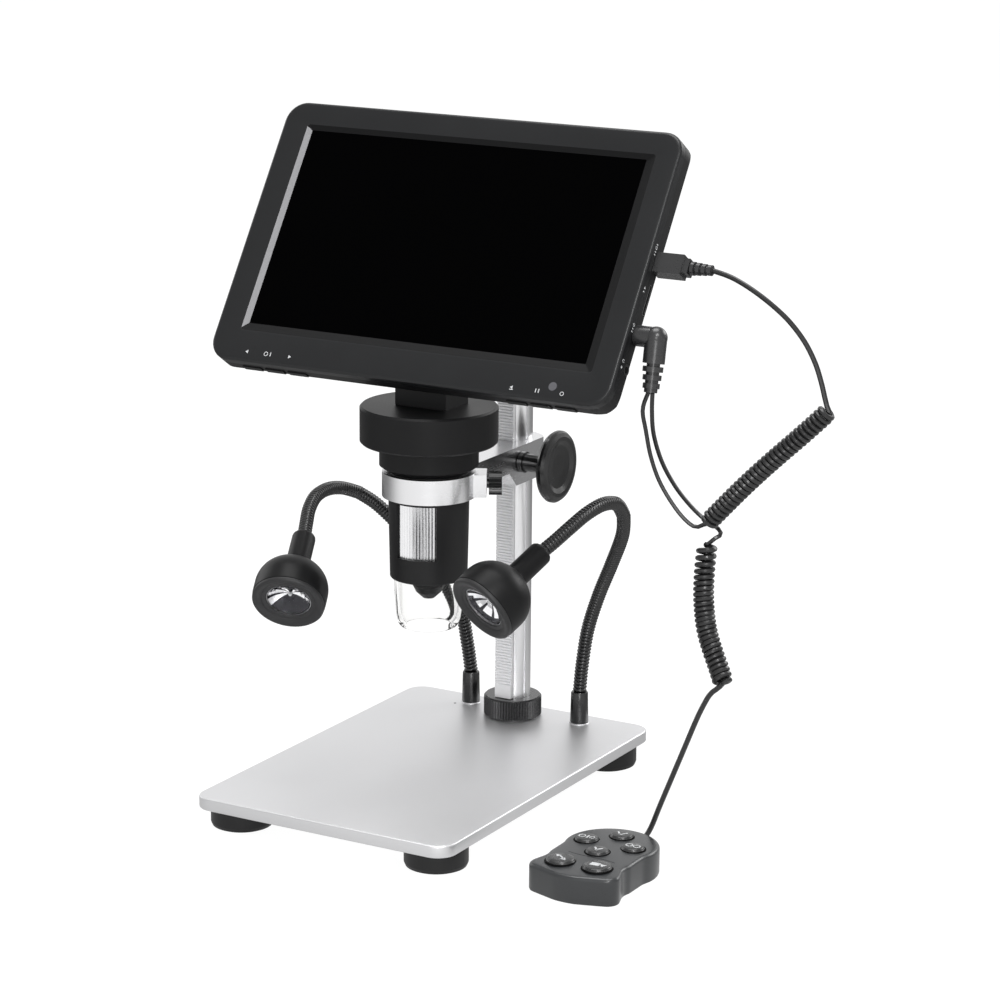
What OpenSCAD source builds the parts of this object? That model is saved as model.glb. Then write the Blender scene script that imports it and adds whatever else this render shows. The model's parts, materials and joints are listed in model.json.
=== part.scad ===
// LCD digital microscope on a rack-and-pinion stand, with two gooseneck lamps and a wired remote.
// Millimetres, +Z up, floor at z = 0, the operator sits on the -Y side.
// The stand, tube and screen share one centre plane, x = stand_x.

/* [Stand] */
// Width of the base plate, left to right
base_w = 117; // [112:1:126]
// Depth of the base plate, front to back
base_d = 172; // [168:1:180]
// Thickness of the base plate
base_t = 5; // [5:0.5:6]
// Height of the rubber feet
foot_h = 9; // [9:0.5:10]
// Radius of the rubber feet
foot_r = 12.6; // [9:0.1:13]
// Height of the column above the base plate
column_h = 161; // [155:1:190]
// Radius of the column
column_r = 7.5; // [7.4:0.1:7.6]

/* [Height drive] */
// Gear module of the rack and pinion
gear_module = 0.4; // [0.4:0.01:0.4]
// Teeth on the pinion
pinion_teeth = 24; // [24:1:24]
// Radius of the height knob
knob_r = 15; // [12:0.5:18]

/* [Arm] */
// Width of the arm
arm_w = 21; // [20:0.5:24]
// Height of the ring clamp and of the arm in front
arm_h = 10; // [10:0.5:10]
// Underside of the ring clamp above the floor
arm_z = 125.8; // [125.8:0.1:125.8]

/* [Tube] */
// Radius of the tube where the ring clamp holds it
tube_r = 16.3; // [16.3:0.05:16.3]
// Radius of the wide disc under the screen
disc_r = 27.8; // [26.4:0.1:29]
// Width of the finger window over the focus drum, in degrees
window_angle = 64; // [40:1:80]
// Ribs round the focus drum
drum_ribs = 72; // [48:1:90]

/* [Screen] */
// Width of the screen housing
screen_w = 183.2; // [183.2:0.1:183.2]
// Height of the screen housing
screen_h = 116; // [114:1:118]
// Width of the visible picture
picture_w = 154.5; // [150:0.5:158]
// Height of the visible picture
picture_h = 87; // [84:0.5:90]
// Thickness of the housing at its rim
rim_t = 10.4; // [10.4:0.1:10.8]
// Lean of the screen back from upright, in degrees
screen_lean = 33.4; // [30:0.1:36]

/* [Lamps] */
// Radius of a lamp head
lamp_r = 15.25; // [14:0.25:16]
// Radius of the gooseneck
gooseneck_r = 2.9; // [2.4:0.1:3]

/* [Remote] */
// Height of the remote at its edge
remote_h = 11; // [11:0.1:11.4]
// Radius of the four small keys
small_key_r = 4.6; // [4.2:0.1:4.8]
// Radius of the two large keys
large_key_r = 5.7; // [5.3:0.1:5.9]

/* [Cords] */
// Diameter of the cords
cord_d = 2.1; // [1.8:0.1:2.2]
// Outer diameter of the coiled stretch to the power plug
power_coil_d = 7.9; // [7.5:0.1:8.1]
// Outer diameter of the coiled stretch to the remote
remote_coil_d = 8.3; // [8:0.1:8.6]

/* [Hidden] */
$fn = 96;
e = 0.01;                 // overrun of cutting shapes
hull_fn = 32;

// Places
stand_x = -18;            // centre plane of the stand
plate_z = foot_h;         // underside of the plate
top_z = foot_h + base_t;  // top of the plate
column_y = 71.5;
tube_y = 1.5;
remote_x = 90;
plate_x = 1.5;            // middle of the plate, seen from the stand's plane

// Rack and pinion
pitch = PI * gear_module;
pinion_pitch_r = gear_module * pinion_teeth / 2;
pinion_y = 58.3;
pinion_z = 129;
rack_pitch_y = pinion_y + pinion_pitch_r;
rack_w = 7.7;
rack_floor_y = column_y - 5;
rack_z0 = top_z + 9.3;
rack_z1 = top_z + column_h - 2;
backlash = 0.12;

// Ring clamp
ring_top = arm_z + arm_h;
ring_out_r = 18.9;
clamp_angle = 29;
clamp_z = arm_z + arm_h / 2;

// Column nut, feet and screws
nut_r = 12.3;
nut_h = 9;
foot_x = base_w / 2 - 13.5;
foot_y = base_d / 2 - 16;
lamp_base = [[-23.6, 76.6], [30.4, 75.2]];

// Tube heights
tube_bottom = 92;
tube_top = 136;
window_z0 = 102;
window_z1 = 124.3;
window_turn = 10;
head_z1 = 162.8;
disc_z0 = 147.6;

// Screen hinge, from the middle of the screen's front face
screen_mid = [0, 9.496, 225.321];
hinge_v = -37.9;
hinge_depth = 21.6;
hinge_r = 5.5;
pin_r = 2;
ear_x0 = 12.3;
ear_x1 = 14.7;
post_w = 23.5;
post_d = 17.5;
lean_cos = cos(screen_lean);
lean_sin = sin(screen_lean);
hinge_y = screen_mid[1] + hinge_v * lean_sin + hinge_depth * lean_cos;
hinge_z = screen_mid[2] + hinge_v * lean_cos - hinge_depth * lean_sin;

// Screen housing, in the screen's own frame: x right, y up the face, z out of the face
wall = 1.5;
split_z = -4.2;
screen_x = 0.6;           // middle of the housing
screen_side = screen_x + screen_w / 2;
picture_x = 1.1;
picture_v = 1.4;
bulge_w = 90;
bulge_v0 = -54;
bulge_v1 = 34;
bulge_t = 14.9;
notch_w = 38.6;
notch_v1 = -28;
port_z = -7.4;
usb_v = 5;
card_v = -10;
jack_v = -24.8;
phone_v = -39.3;
case_screw = [86.2, 52.5];
key_x = [-72, -61.2, -50.4, 50.4, 61.2, 72];
key_l = 8.7;
key_t = 2.8;
key_z = -7.2;

// Remote
remote_arc_y = -42;
remote_arc_r = 18.5;
remote_mid_y = -45;
remote_shell = 1.6;
remote_split = 5.5;
remote_dome_r = 600;
remote_top = remote_h + 0.8;
remote_keys = [
    [0, 11.2, small_key_r], [-10, 1.4, small_key_r], [10, 1.4, small_key_r], [0, -8.6, small_key_r],
    [-7.8, -23.4, large_key_r], [7.8, -23.4, large_key_r]
];

// Lamps: neck top, droop of the head and turn of the head towards the middle
lamp_length = 36;
right_neck = [55.5, -5.4, 111];
left_neck = [-55.1, -6, 102];
right_droop = 30;
left_droop = 34;
lamp_turn = 20;
function lamp_axis(droop, side) =
    [-side * sin(lamp_turn) * cos(droop), -cos(lamp_turn) * cos(droop), -sin(droop)];

// Gooseneck routes, from the ferrule to the neck of the head
right_route = [
    [30.4, 75.2, 28], [30.9, 76.4, 40], [32.7, 77.6, 55], [38.8, 75, 71], [48.6, 68, 88.3],
    [58.5, 58, 104.2], [63.6, 49, 115.2], [65.6, 39, 122.3], [65.6, 28, 124.8],
    [64.2, 17, 123.4], [61.4, 8, 119.2], [58.5, 1, 114.9], right_neck
];
left_route = [
    [-23.6, 76.6, 28], [-26, 77.4, 40], [-29.8, 78, 54], [-37.6, 75, 68], [-48.2, 68, 85],
    [-58.2, 58, 100.5], [-63.4, 49, 108.2], [-65.2, 39, 112], [-65.2, 28, 113.9],
    [-64, 17, 113.4], [-61.6, 8, 110.2], [-58.4, 0.8, 106], left_neck
];
gooseneck_split = 6;      // point where the lower length of gooseneck ends

// Plugs and cords. Their routes are in the object's own frame.
function screen_point(x, v, depth) = [
    stand_x + x,
    screen_mid[1] + v * lean_sin + depth * lean_cos,
    screen_mid[2] + v * lean_cos - depth * lean_sin
];
usb_reach = 23.8;           // from the side of the screen to the end of the power plug's grip
usb_end = screen_point(screen_side + usb_reach, usb_v, -port_z);
jack_turn = 11;           // turn of the jack's elbow about its own plug, towards the front
jack_port = screen_point(screen_side, jack_v, -port_z);
elbow_x = 82.6;
elbow_drop = 21;
jack_end = [
    elbow_x, jack_port[1] - elbow_drop * sin(jack_turn), jack_port[2] - elbow_drop * cos(jack_turn)
];
usb_route = [
    usb_end, [106, 18.3, 223.6], [115, 17.8, 219.8], [124, 17.2, 214.7], [131.5, 16.6, 209.3],
    [138.2, 16, 202.4], [143, 15.4, 195], [146, 14.8, 188], [148, 14.3, 182], [149.6, 14, 177.4]
];
power_coil_route = [
    [104, 6, 129.4], [117.3, 8, 144.4], [128.7, 10, 156.3], [141, 12, 168.4], [150, 14, 177.7]
];
jack_route = [
    jack_end - [0.9, 0, 0], [79.6, -2.4, 173], [80.4, -1, 164.8], [82.2, 0, 154.6],
    [85.6, 1.2, 144.7], [91, 2.6, 135.8], [96, 3.8, 130], [100, 5, 127.6], [104, 6, 129.8]
];
remote_lead_route = [
    jack_end + [0.9, 0, 0], [82.2, 0.4, 172], [82, 2.6, 162.6], [84.6, 4.6, 152], [89.2, 6.7, 142.7],
    [94.4, 9, 135.4], [100, 10.6, 130], [106, 11, 126.8], [108.6, 9, 125], [107.6, 6.4, 124],
    [104.9, 5, 121.4]
];
remote_coil_route = [
    [104.9, 5, 121.8], [105, 2.8, 111.7], [105.9, 0.7, 101.1], [108.3, -1.5, 90.8],
    [111.9, -3.7, 83.4], [116.2, -5.8, 76.2], [119.5, -8, 71.2]
];
remote_cord_end = [94, -25.6, 8];
remote_cord_hole = [94, -30, 8];
remote_route = [
    [119.3, -7.9, 71.6], [117.6, -8.4, 69.4], [114.4, -9.2, 66.4], [112, -11, 61], [110.2, -13, 55.4],
    [107, -15.6, 45], [102.6, -17.8, 32], [98.8, -19.4, 21], [96, -20, 13], [94.4, -21.6, 9], remote_cord_end
];

// ---------- helpers ----------
module on_stand() { translate([stand_x, 0, 0]) children(); }

module on_screen() {
    on_stand() translate(screen_mid) rotate([90 - screen_lean, 0, 0]) children();
}

module rounded_rect(w, d, r) {
    square([w, d - 2 * r], center = true);
    square([w - 2 * r, d], center = true);
    for (x = [-1, 1], y = [-1, 1])
        translate([x * (w / 2 - r), y * (d / 2 - r)]) circle(r);
}

// Side profile of a slab with its long edges bevelled by c, top and bottom apart
module bevelled_side(w, z0, z1, c0, c1) {
    polygon([
        [-w / 2 + c0, z0], [w / 2 - c0, z0], [w / 2, z0 + c0], [w / 2, z1 - c1],
        [w / 2 - c1, z1], [-w / 2 + c1, z1], [-w / 2, z1 - c1], [-w / 2, z0 + c0]
    ]);
}

// Rounded slab between two heights, with bevelled edges
module bevelled_slab(w, d, r, z0, z1, c0, c1) {
    intersection() {
        translate([0, 0, z0]) linear_extrude(z1 - z0) rounded_rect(w, d, r);
        rotate([90, 0, 0]) linear_extrude(d + 2, center = true) bevelled_side(w, z0, z1, c0, c1);
        rotate([90, 0, 90]) linear_extrude(w + 2, center = true) bevelled_side(d, z0, z1, c0, c1);
    }
}

module tube(r_out, r_in, z0, z1) {
    translate([0, 0, z0]) difference() {
        cylinder(r = r_out, h = z1 - z0);
        translate([0, 0, -e]) cylinder(r = r_in, h = z1 - z0 + 2 * e);
    }
}

// Round bar along X
module x_bar(r, x0, x1) {
    translate([x0, 0, 0]) rotate([0, 90, 0]) cylinder(r = r, h = x1 - x0);
}

// Star outline for knurls and ribs: n teeth between two radii
module knurl_outline(r_out, r_in, n) {
    polygon([for (i = [0 : 2 * n - 1])
        let (r = i % 2 == 0 ? r_out : r_in, a = 180 * i / n) [r * cos(a), r * sin(a)]]);
}

// Involute gear outline with its first tooth on +x
function involute_point(base_r, r, turn, hand) =
    let (t = sqrt(max(0, pow(r / base_r, 2) - 1)), a = t * 180 / PI - atan(t))
    [r * cos(hand * (a - turn)), r * sin(hand * (a - turn))];
module gear_outline(m, n, play) {
    pitch_r = m * n / 2;
    base_r = pitch_r * cos(20);
    tip_r = pitch_r + m;
    root_r = pitch_r - 1.25 * m;
    at_pitch = sqrt(pow(pitch_r / base_r, 2) - 1) * 180 / PI - 20;
    half = 90 / n - play / pitch_r * 45 / PI + at_pitch;
    steps = 4;
    lift = [for (i = [0 : steps]) base_r + (tip_r - base_r) * i / steps];
    outline = concat(
        [[root_r * cos(half), -root_r * sin(half)]],
        [for (i = [0 : steps]) involute_point(base_r, lift[i], half, 1)],
        [for (i = [0 : steps]) involute_point(base_r, lift[steps - i], half, -1)],
        [[root_r * cos(half), root_r * sin(half)]]
    );
    polygon([for (k = [0 : n - 1], p = outline)
        let (a = 360 * k / n) [p[0] * cos(a) - p[1] * sin(a), p[0] * sin(a) + p[1] * cos(a)]]);
}

// Smooth curve through the points of a route: Catmull-Rom, with steps rings to each stretch
function curve_at(p, i, t) =
    let (
        n = len(p) - 1,
        a = p[max(i - 1, 0)], b = p[i], c = p[min(i + 1, n)], d = p[min(i + 2, n)]
    )
    0.5 * ((2 * b) + (c - a) * t + (2 * a - 5 * b + 4 * c - d) * t * t
        + (3 * b - a - 3 * c + d) * t * t * t);
function smooth_route(p, steps) = concat(
    [for (i = [0 : len(p) - 2], s = [0 : steps - 1]) curve_at(p, i, s / steps)],
    [p[len(p) - 1]]
);
function unit(v) = v / norm(v);
function side_of(t, before) = unit(before - t * (before * t));
function sides_along(dirs, i = 0, last = [1, 0, 0], out = []) =
    i == len(dirs) ? out
    : let (s = side_of(dirs[i], last)) sides_along(dirs, i + 1, s, concat(out, [s]));

// Round tube swept along a route. Its two end faces can be turned to meet what they touch.
module swept_tube(route, r, sides, first_dir = undef, last_dir = undef) {
    n = len(route);
    dirs = [for (i = [0 : n - 1])
        i == 0 && first_dir != undef ? unit(first_dir)
        : i == n - 1 && last_dir != undef ? unit(last_dir)
        : unit(route[min(i + 1, n - 1)] - route[max(i - 1, 0)])];
    across = sides_along(dirs, 0, [0.2, 1, 0.1]);
    points = [for (i = [0 : n - 1], k = [0 : sides - 1])
        let (a = 360 * k / sides, up = cross(dirs[i], across[i]))
        route[i] + r * cos(a) * across[i] + r * sin(a) * up];
    walls = [for (i = [0 : n - 2], k = [0 : sides - 1])
        let (a = i * sides + k, b = i * sides + (k + 1) % sides)
        each [[a, a + sides, b], [b, a + sides, b + sides]]];
    polyhedron(points, concat(
        [[for (k = [0 : sides - 1]) k]],
        [[for (k = [0 : sides - 1]) n * sides - 1 - k]],
        walls
    ));
}

// ---------- stand ----------
module base_plate() {
    on_stand() color("silver") difference() {
        translate([plate_x, 0, 0]) bevelled_slab(base_w, base_d, 8, plate_z, top_z, 0.5, 0.5);
        for (x = [-1, 1], y = [-1, 1])
            translate([plate_x + x * foot_x, y * foot_y, plate_z - e]) cylinder(r = 2, h = 3.6);
        translate([0, column_y, plate_z - e]) {
            cylinder(r = 3.25, h = base_t + 1);
            cylinder(r = 5.6, h = 3);
        }
        for (p = lamp_base) translate([p[0], p[1], plate_z - e]) cylinder(r = 3, h = base_t + 1);
        translate([-28.4, 71.1, top_z - 2]) cylinder(r = 0.6, h = 3);
    }
}

module rubber_feet() {
    on_stand() color("black") for (x = [-1, 1], y = [-1, 1])
        translate([plate_x + x * foot_x, y * foot_y, 0]) rotate_extrude() polygon([
            [4.2, 0], [foot_r - 2, 0], [foot_r - 0.6, 0.6], [foot_r, 2], [foot_r, foot_h - 0.6],
            [foot_r - 0.6, foot_h], [2.1, foot_h], [2.1, foot_h - 4.5], [4.2, foot_h - 4.5]
        ]);
}

module base_screws() {
    on_stand() color("dimgray") {
        for (x = [-1, 1], y = [-1, 1]) translate([plate_x + x * foot_x, y * foot_y, 0]) {
            translate([0, 0, foot_h - 7]) cylinder(r = 3.8, h = 2.5);
            translate([0, 0, foot_h - 4.5 - e]) cylinder(r = 1.98, h = 7.6);
        }
        translate([0, column_y, plate_z + 0.2]) {
            cylinder(r = 5.2, h = 2.79);
            cylinder(r = 2.98, h = 24);
        }
    }
}

module column_outline() {
    difference() {
        circle(column_r);
        translate([-rack_w / 2 - 0.1, -column_r - 1]) square([rack_w + 0.2, column_r + 1 - 5]);
        for (a = [-70, 70]) rotate(a) translate([-0.5, -column_r - 1]) square([1, 1.6]);
    }
}

module column() {
    on_stand() color("silver") translate([0, column_y, top_z]) difference() {
        linear_extrude(column_h) column_outline();
        translate([0, 0, -e]) cylinder(r = 3, h = 26);
        translate([0, 0, column_h - 6]) cylinder(r = 3, h = 7);
    }
}

module column_rack() {
    first = pinion_z - pitch / 2 - floor((pinion_z - pitch / 2 - rack_z0 - 7) / pitch) * pitch;
    count = floor((rack_z1 - 2 - first) / pitch);
    crest_y = rack_pitch_y - gear_module + 0.05;
    root_y = rack_pitch_y + 1.25 * gear_module;
    tip = pitch / 4 - (rack_pitch_y - crest_y) * tan(20) - backlash / 4;
    foot = pitch / 4 + (root_y - rack_pitch_y) * tan(20) - backlash / 4;
    teeth = [for (i = [0 : count - 1]) let (z = first + i * pitch)
        each [[root_y, z - foot], [crest_y, z - tip], [crest_y, z + tip], [root_y, z + foot]]];
    on_stand() color("silver") rotate([90, 0, 90])
        linear_extrude(rack_w, center = true) polygon(concat(
            [[rack_floor_y, rack_z0], [crest_y, rack_z0], [crest_y, first - pitch + tip],
             [root_y, first - pitch + foot]],
            teeth,
            [[root_y, first + count * pitch - foot], [root_y, rack_z1], [rack_floor_y, rack_z1]]
        ));
}

module column_nut() {
    on_stand() color("black") translate([0, column_y, top_z]) difference() {
        union() {
            cylinder(r = nut_r - 0.7, h = nut_h);
            translate([0, 0, 0.6]) linear_extrude(nut_h - 1.2) knurl_outline(nut_r, nut_r - 0.5, 60);
        }
        translate([0, 0, -e]) cylinder(r = column_r + 0.05, h = nut_h + 1);
    }
}

module lamp_ferrules() {
    on_stand() for (p = lamp_base) translate([p[0], p[1], 0]) {
        color("black") {
            translate([0, 0, top_z + 1]) cylinder(r = 3.9, h = 13);
            translate([0, 0, plate_z + 0.4]) cylinder(r = 2.97, h = base_t + 1);
        }
        color("silver") tube(4.9, 2.98, top_z, top_z + 1 - e);
    }
}

// ---------- carriage ----------
module arm_profile() {
    deep_z = arm_z - 6.3;
    polygon([
        [tube_y, arm_z], [48.5, arm_z], [54.5, deep_z], [90, deep_z], [90, ring_top],
        [tube_y, ring_top]
    ]);
}

module carriage_arm() {
    on_stand() color("gainsboro") difference() {
        union() {
            translate([0, tube_y, arm_z]) cylinder(r = ring_out_r, h = arm_h);
            intersection() {
                rotate([90, 0, 90]) linear_extrude(arm_w, center = true) arm_profile();
                union() {
                    translate([-arm_w, 0, 0]) cube([2 * arm_w, column_y, 200]);
                    translate([0, column_y, 0]) cylinder(r = 12, h = 200);
                }
            }
            translate([0, tube_y, arm_z]) rotate(clamp_angle) translate([17, -6, 0.4])
                cube([6.2, 12, arm_h - 0.8]);
        }
        translate([0, tube_y, arm_z - e]) cylinder(r = tube_r + 0.05, h = arm_h + 1);
        translate([0, tube_y, clamp_z]) rotate(clamp_angle) x_bar(2.02, 10, 30);
        translate([0, column_y, 100]) cylinder(r = column_r + 0.06, h = 60);
        translate([-rack_w / 2 - 0.3, rack_pitch_y - gear_module - 0.5, 100])
            cube([rack_w + 0.6, 8, 60]);
        translate([0, pinion_y, pinion_z]) {
            x_bar(5.6, -4.6, 4.6);
            x_bar(3.5, -9.6, 16);
        }
    }
}

module pinion_bushes() {
    on_stand() color("darkgoldenrod") translate([0, pinion_y, pinion_z]) rotate([0, 90, 0]) {
        tube(3.48, 2.05, -9.5, -4.7);
        tube(3.48, 2.05, 4.7, arm_w / 2 - 0.1);
    }
}

module height_knob() {
    collar = arm_w / 2 + 0.3;
    on_stand() color("black") translate([0, pinion_y, pinion_z]) rotate([0, 90, 0])
        rotate_extrude() polygon([
            [2.01, collar], [4.4, collar], [4.4, 12.8], [3.7, 12.8], [3.7, 24.7], [knob_r - 3, 24.7],
            [knob_r - 0.8, 25.4], [knob_r, 26.6], [knob_r, 27.8], [knob_r - 0.8, 28.9],
            [knob_r - 2.4, 29.5], [knob_r - 4, 29.3], [knob_r - 6, 28.4], [5, 28], [0, 28],
            [0, 27.01], [2.01, 27.01]
        ]);
}

module pinion_shaft() {
    on_stand() color("dimgray") translate([0, pinion_y, pinion_z]) {
        x_bar(2, -9.4, 27);
        rotate([0, 90, 0]) rotate(90) linear_extrude(8, center = true)
            gear_outline(gear_module, pinion_teeth, backlash);
    }
}

module clamp_screw() {
    on_stand() color("black") translate([0, tube_y, clamp_z]) rotate(clamp_angle) {
        x_bar(1.98, 16.42, 25);
        translate([24.1, 0, 0]) rotate([0, 90, 0]) {
            linear_extrude(5.2) knurl_outline(4.75, 4.3, 30);
        }
    }
}

// ---------- tube ----------
module tube_shell() {
    on_stand() color("black") translate([0, tube_y, 0]) difference() {
        rotate_extrude() polygon([
            [14.3, tube_bottom], [15.3, tube_bottom], [15.7, tube_bottom + 0.5], [16.1, 112],
            [tube_r, 124.8], [tube_r, tube_top], [14.9, tube_top], [14.9, 100.5], [13.6, 100.5],
            [13.6, 94.2], [14.3, 94.2]
        ]);
        rotate(window_turn) translate([0, 0, window_z0]) linear_extrude(window_z1 - window_z0)
            polygon([
                [0, 0], [-40 * sin(window_angle / 2), -40 * cos(window_angle / 2)],
                [40 * sin(window_angle / 2), -40 * cos(window_angle / 2)]
            ]);
    }
}

module head_housing() {
    on_stand() color("black") translate([0, tube_y, 0]) rotate_extrude() polygon([
        [13.2, 125.4], [14.87, 125.4], [14.87, tube_top], [16.4, tube_top], [20, 138.5],
        [20, disc_z0], [disc_r - 0.8, disc_z0], [disc_r, disc_z0 + 0.8], [disc_r, head_z1 - 0.8],
        [disc_r - 0.8, head_z1], [4, head_z1], [4, head_z1 - 2.8], [25.4, head_z1 - 2.8],
        [25.4, disc_z0 + 2.2], [17.6, disc_z0 + 2.2], [17.6, 140], [12.2, 137], [12.2, 129],
        [13.2, 129]
    ]);
}

module sensor_board() {
    on_stand() translate([0, tube_y, 0]) {
        color("darkgreen") tube(13.1, 0.8, 127.6, 129);
        color("dimgray") translate([-4, -4, 126.6]) cube([8, 8, 1]);
    }
}

module led_board() {
    on_stand() translate([0, tube_y, 0]) {
        color("white") tube(14.2, 7.2, 93, 94.2);
        color("lightyellow") for (i = [0 : 7]) rotate(45 * i) translate([10.2, 0, 91.8])
            cylinder(r = 1.6, h = 1.2);
    }
}

module clear_nozzle() {
    on_stand() color("lightcyan", 0.5) translate([0, tube_y, 0]) rotate_extrude() polygon([
        [12.7, 93], [14.2, 93], [14.2, 78.4], [11.6, 72.4], [10.4, 71.1], [9.6, 71], [8.8, 71.6],
        [10.2, 73.4], [12.7, 79]
    ]);
}

module neck_post() {
    on_stand() color("black") difference() {
        rotate([90, 0, 90]) linear_extrude(post_w, center = true) union() {
            translate([hinge_y, hinge_z]) circle(hinge_r);
            polygon([
                [tube_y - 6.75, head_z1], [tube_y - 6.75 + post_d, head_z1],
                [hinge_y + hinge_r, hinge_z], [hinge_y, hinge_z + 0.5], [hinge_y - 4.3, hinge_z + 3.2],
                [tube_y - 6.75, 174.4]
            ]);
        }
        translate([0, hinge_y, hinge_z]) x_bar(pin_r + 0.01, -20, 20);
        translate([0, tube_y, head_z1 - 1]) cylinder(r = 4, h = 9);
    }
}

module hinge_pin() {
    on_stand() color("silver") translate([0, hinge_y, hinge_z]) x_bar(pin_r, -15, 15);
}

module focus_drum() {
    on_stand() color("silver") translate([0, tube_y, 101]) difference() {
        linear_extrude(24) knurl_outline(14.6, 14.1, drum_ribs);
        translate([0, 0, -e]) cylinder(r = 11.4, h = 25);
    }
}

module lens_barrel() {
    on_stand() color("black") translate([0, tube_y, 0]) rotate_extrude() polygon([
        [1.2, 83], [2.4, 83], [5.2, 85.6], [6.5, 88.2], [6.5, 104], [11.33, 104], [11.33, 110],
        [6.5, 110], [6.5, 118], [5, 118], [5, 96], [4.5, 96], [4.5, 90], [1.2, 88.6]
    ]);
}

module lens_elements() {
    on_stand() color("lightcyan", 0.6) translate([0, tube_y, 0]) {
        translate([0, 0, 90]) cylinder(r = 4.45, h = 2);
        translate([0, 0, 96]) cylinder(r = 4.95, h = 2.2);
    }
}

// ---------- screen ----------
module port_cuts(room) {
    translate([80, usb_v - 3.8 - room, port_z - 1.35 - room])
        cube([20, 7.6 + 2 * room, 2.7 + 2 * room]);
    translate([80, card_v - 6.3 - room, port_z - 1.2 - room])
        cube([20, 12.6 + 2 * room, 1.9 + 2 * room]);
    for (v = [jack_v, phone_v]) translate([0, v, port_z]) x_bar(2.4 + room, 80, 100);
}

module screen_bezel() {
    on_screen() color("black") difference() {
        union() {
            difference() {
                translate([screen_x, 0, 0])
                    bevelled_slab(screen_w, screen_h, 9, split_z, 0, 0, 1.2);
                translate([screen_x, 0, split_z - 1]) linear_extrude(-wall + 0.1 - split_z + 1)
                    rounded_rect(screen_w - 2 * wall, screen_h - 2 * wall, 7.5);
                translate([picture_x, picture_v, -3])
                    linear_extrude(5) square([picture_w, picture_h], center = true);
            }
            for (x = [-1, 1], y = [-1, 1])
                translate([x * case_screw[0], y * case_screw[1], split_z])
                    cylinder(r = 2.6, h = -split_z - 1);
        }
        for (x = [-1, 1], y = [-1, 1])
            translate([x * case_screw[0], y * case_screw[1], split_z - e])
                cylinder(r = 1, h = 2);
        port_cuts(0.15);
    }
}

module key_cuts() {
    for (x = key_x) {
        translate([x - key_l / 2 - 0.15, -screen_h / 2 - 1, key_z - key_t / 2 - 0.15])
            cube([key_l + 0.3, 4, key_t + 0.3]);
        translate([x - key_l / 2 - 0.8, -screen_h / 2 + wall, key_z - key_t / 2 - 0.15])
            cube([key_l + 1.6, 3.4, key_t + 0.3]);
    }
}

module screen_back() {
    on_screen() color("black") difference() {
        union() {
            difference() {
                translate([screen_x, 0, 0])
                    bevelled_slab(screen_w, screen_h, 9, -rim_t, split_z, 1.2, 0);
                translate([screen_x, 0, -rim_t + wall]) linear_extrude(rim_t)
                    rounded_rect(screen_w - 2 * wall, screen_h - 2 * wall, 7.5);
            }
            for (x = [-1, 1], y = [-1, 1])
                translate([x * case_screw[0], y * case_screw[1], -rim_t + 1])
                    cylinder(r = 2.6, h = rim_t - 1 + split_z);
            difference() {
                translate([0, (bulge_v0 + bulge_v1) / 2, 0])
                    bevelled_slab(bulge_w, bulge_v1 - bulge_v0, 5, -bulge_t, -rim_t + 1.2, 1.5, 0);
                translate([-notch_w / 2, -60, -20]) cube([notch_w, 60 + notch_v1, 20 - rim_t]);
            }
        }
        // room inside the bulge, above the hinge notch
        translate([-bulge_w / 2 + 2, notch_v1 + 2, -bulge_t + wall])
            cube([bulge_w - 4, bulge_v1 - notch_v1 - 4, bulge_t]);
        for (x = [-1, 1])
            translate([x > 0 ? notch_w / 2 + 2 : -bulge_w / 2 + 2, bulge_v0 + 2, -bulge_t + wall])
                cube([(bulge_w - notch_w) / 2 - 4, 30, 6]);
        for (x = [-1, 1], y = [-1, 1]) translate([x * case_screw[0], y * case_screw[1], -20]) {
            cylinder(r = 1.2, h = 20);
            cylinder(r = 2.05, h = 20 - rim_t + 1.2);
        }
        for (x = [-1, 1], v = [-40.5, -33.5]) translate([6 * x, v, -rim_t - 2]) cylinder(r = 1.22, h = 5);
        key_cuts();
        port_cuts(0.15);
    }
}

module lcd_panel() {
    on_screen() {
        color("black") translate([picture_x, picture_v, -4.6]) linear_extrude(3.2)
            rounded_rect(162, 96, 0.6);
    }
}

module main_board() {
    on_screen() {
        color("darkgreen") translate([-40, -46, -8.4]) cube([116, 72, 1.2]);
        color("dimgray") {
            translate([-20, -10, -10.9]) cube([16, 16, 2.5 - e]);
            translate([10, 0, -10]) cube([10, 14, 1.6 - e]);
            translate([24, -22, -10.4]) cube([8, 10, 2 - e]);
        }
        color("silver") {
            difference() {
                translate([82.9, usb_v - 3.8, port_z - 1.35]) cube([8, 7.6, 2.7]);
                translate([84, usb_v - 3.5, port_z - 0.95]) cube([10, 7, 1.9]);
            }
            translate([76 + e, usb_v - 3.8, port_z - 1.35]) cube([6.9 - e, 7.6, 1.7]);
            difference() {
                translate([76 + e, card_v - 6.3, port_z - 1.2]) cube([14.9, 12.6, 1.5]);
                translate([78, card_v - 5.6, port_z - 0.9]) cube([15, 11.2, 0.9]);
            }
        }
        color("black") for (v = [jack_v, phone_v]) translate([0, v, 0]) {
            difference() {
                translate([0, 0, port_z]) x_bar(2.4, 82.9, 90.9);
                translate([0, 0, port_z]) x_bar(1.32, 83.5, 92);
            }
            translate([76 + e, -3, port_z - 1.35]) cube([6.9 - e, 6, 1.7]);
        }
    }
}

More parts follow.
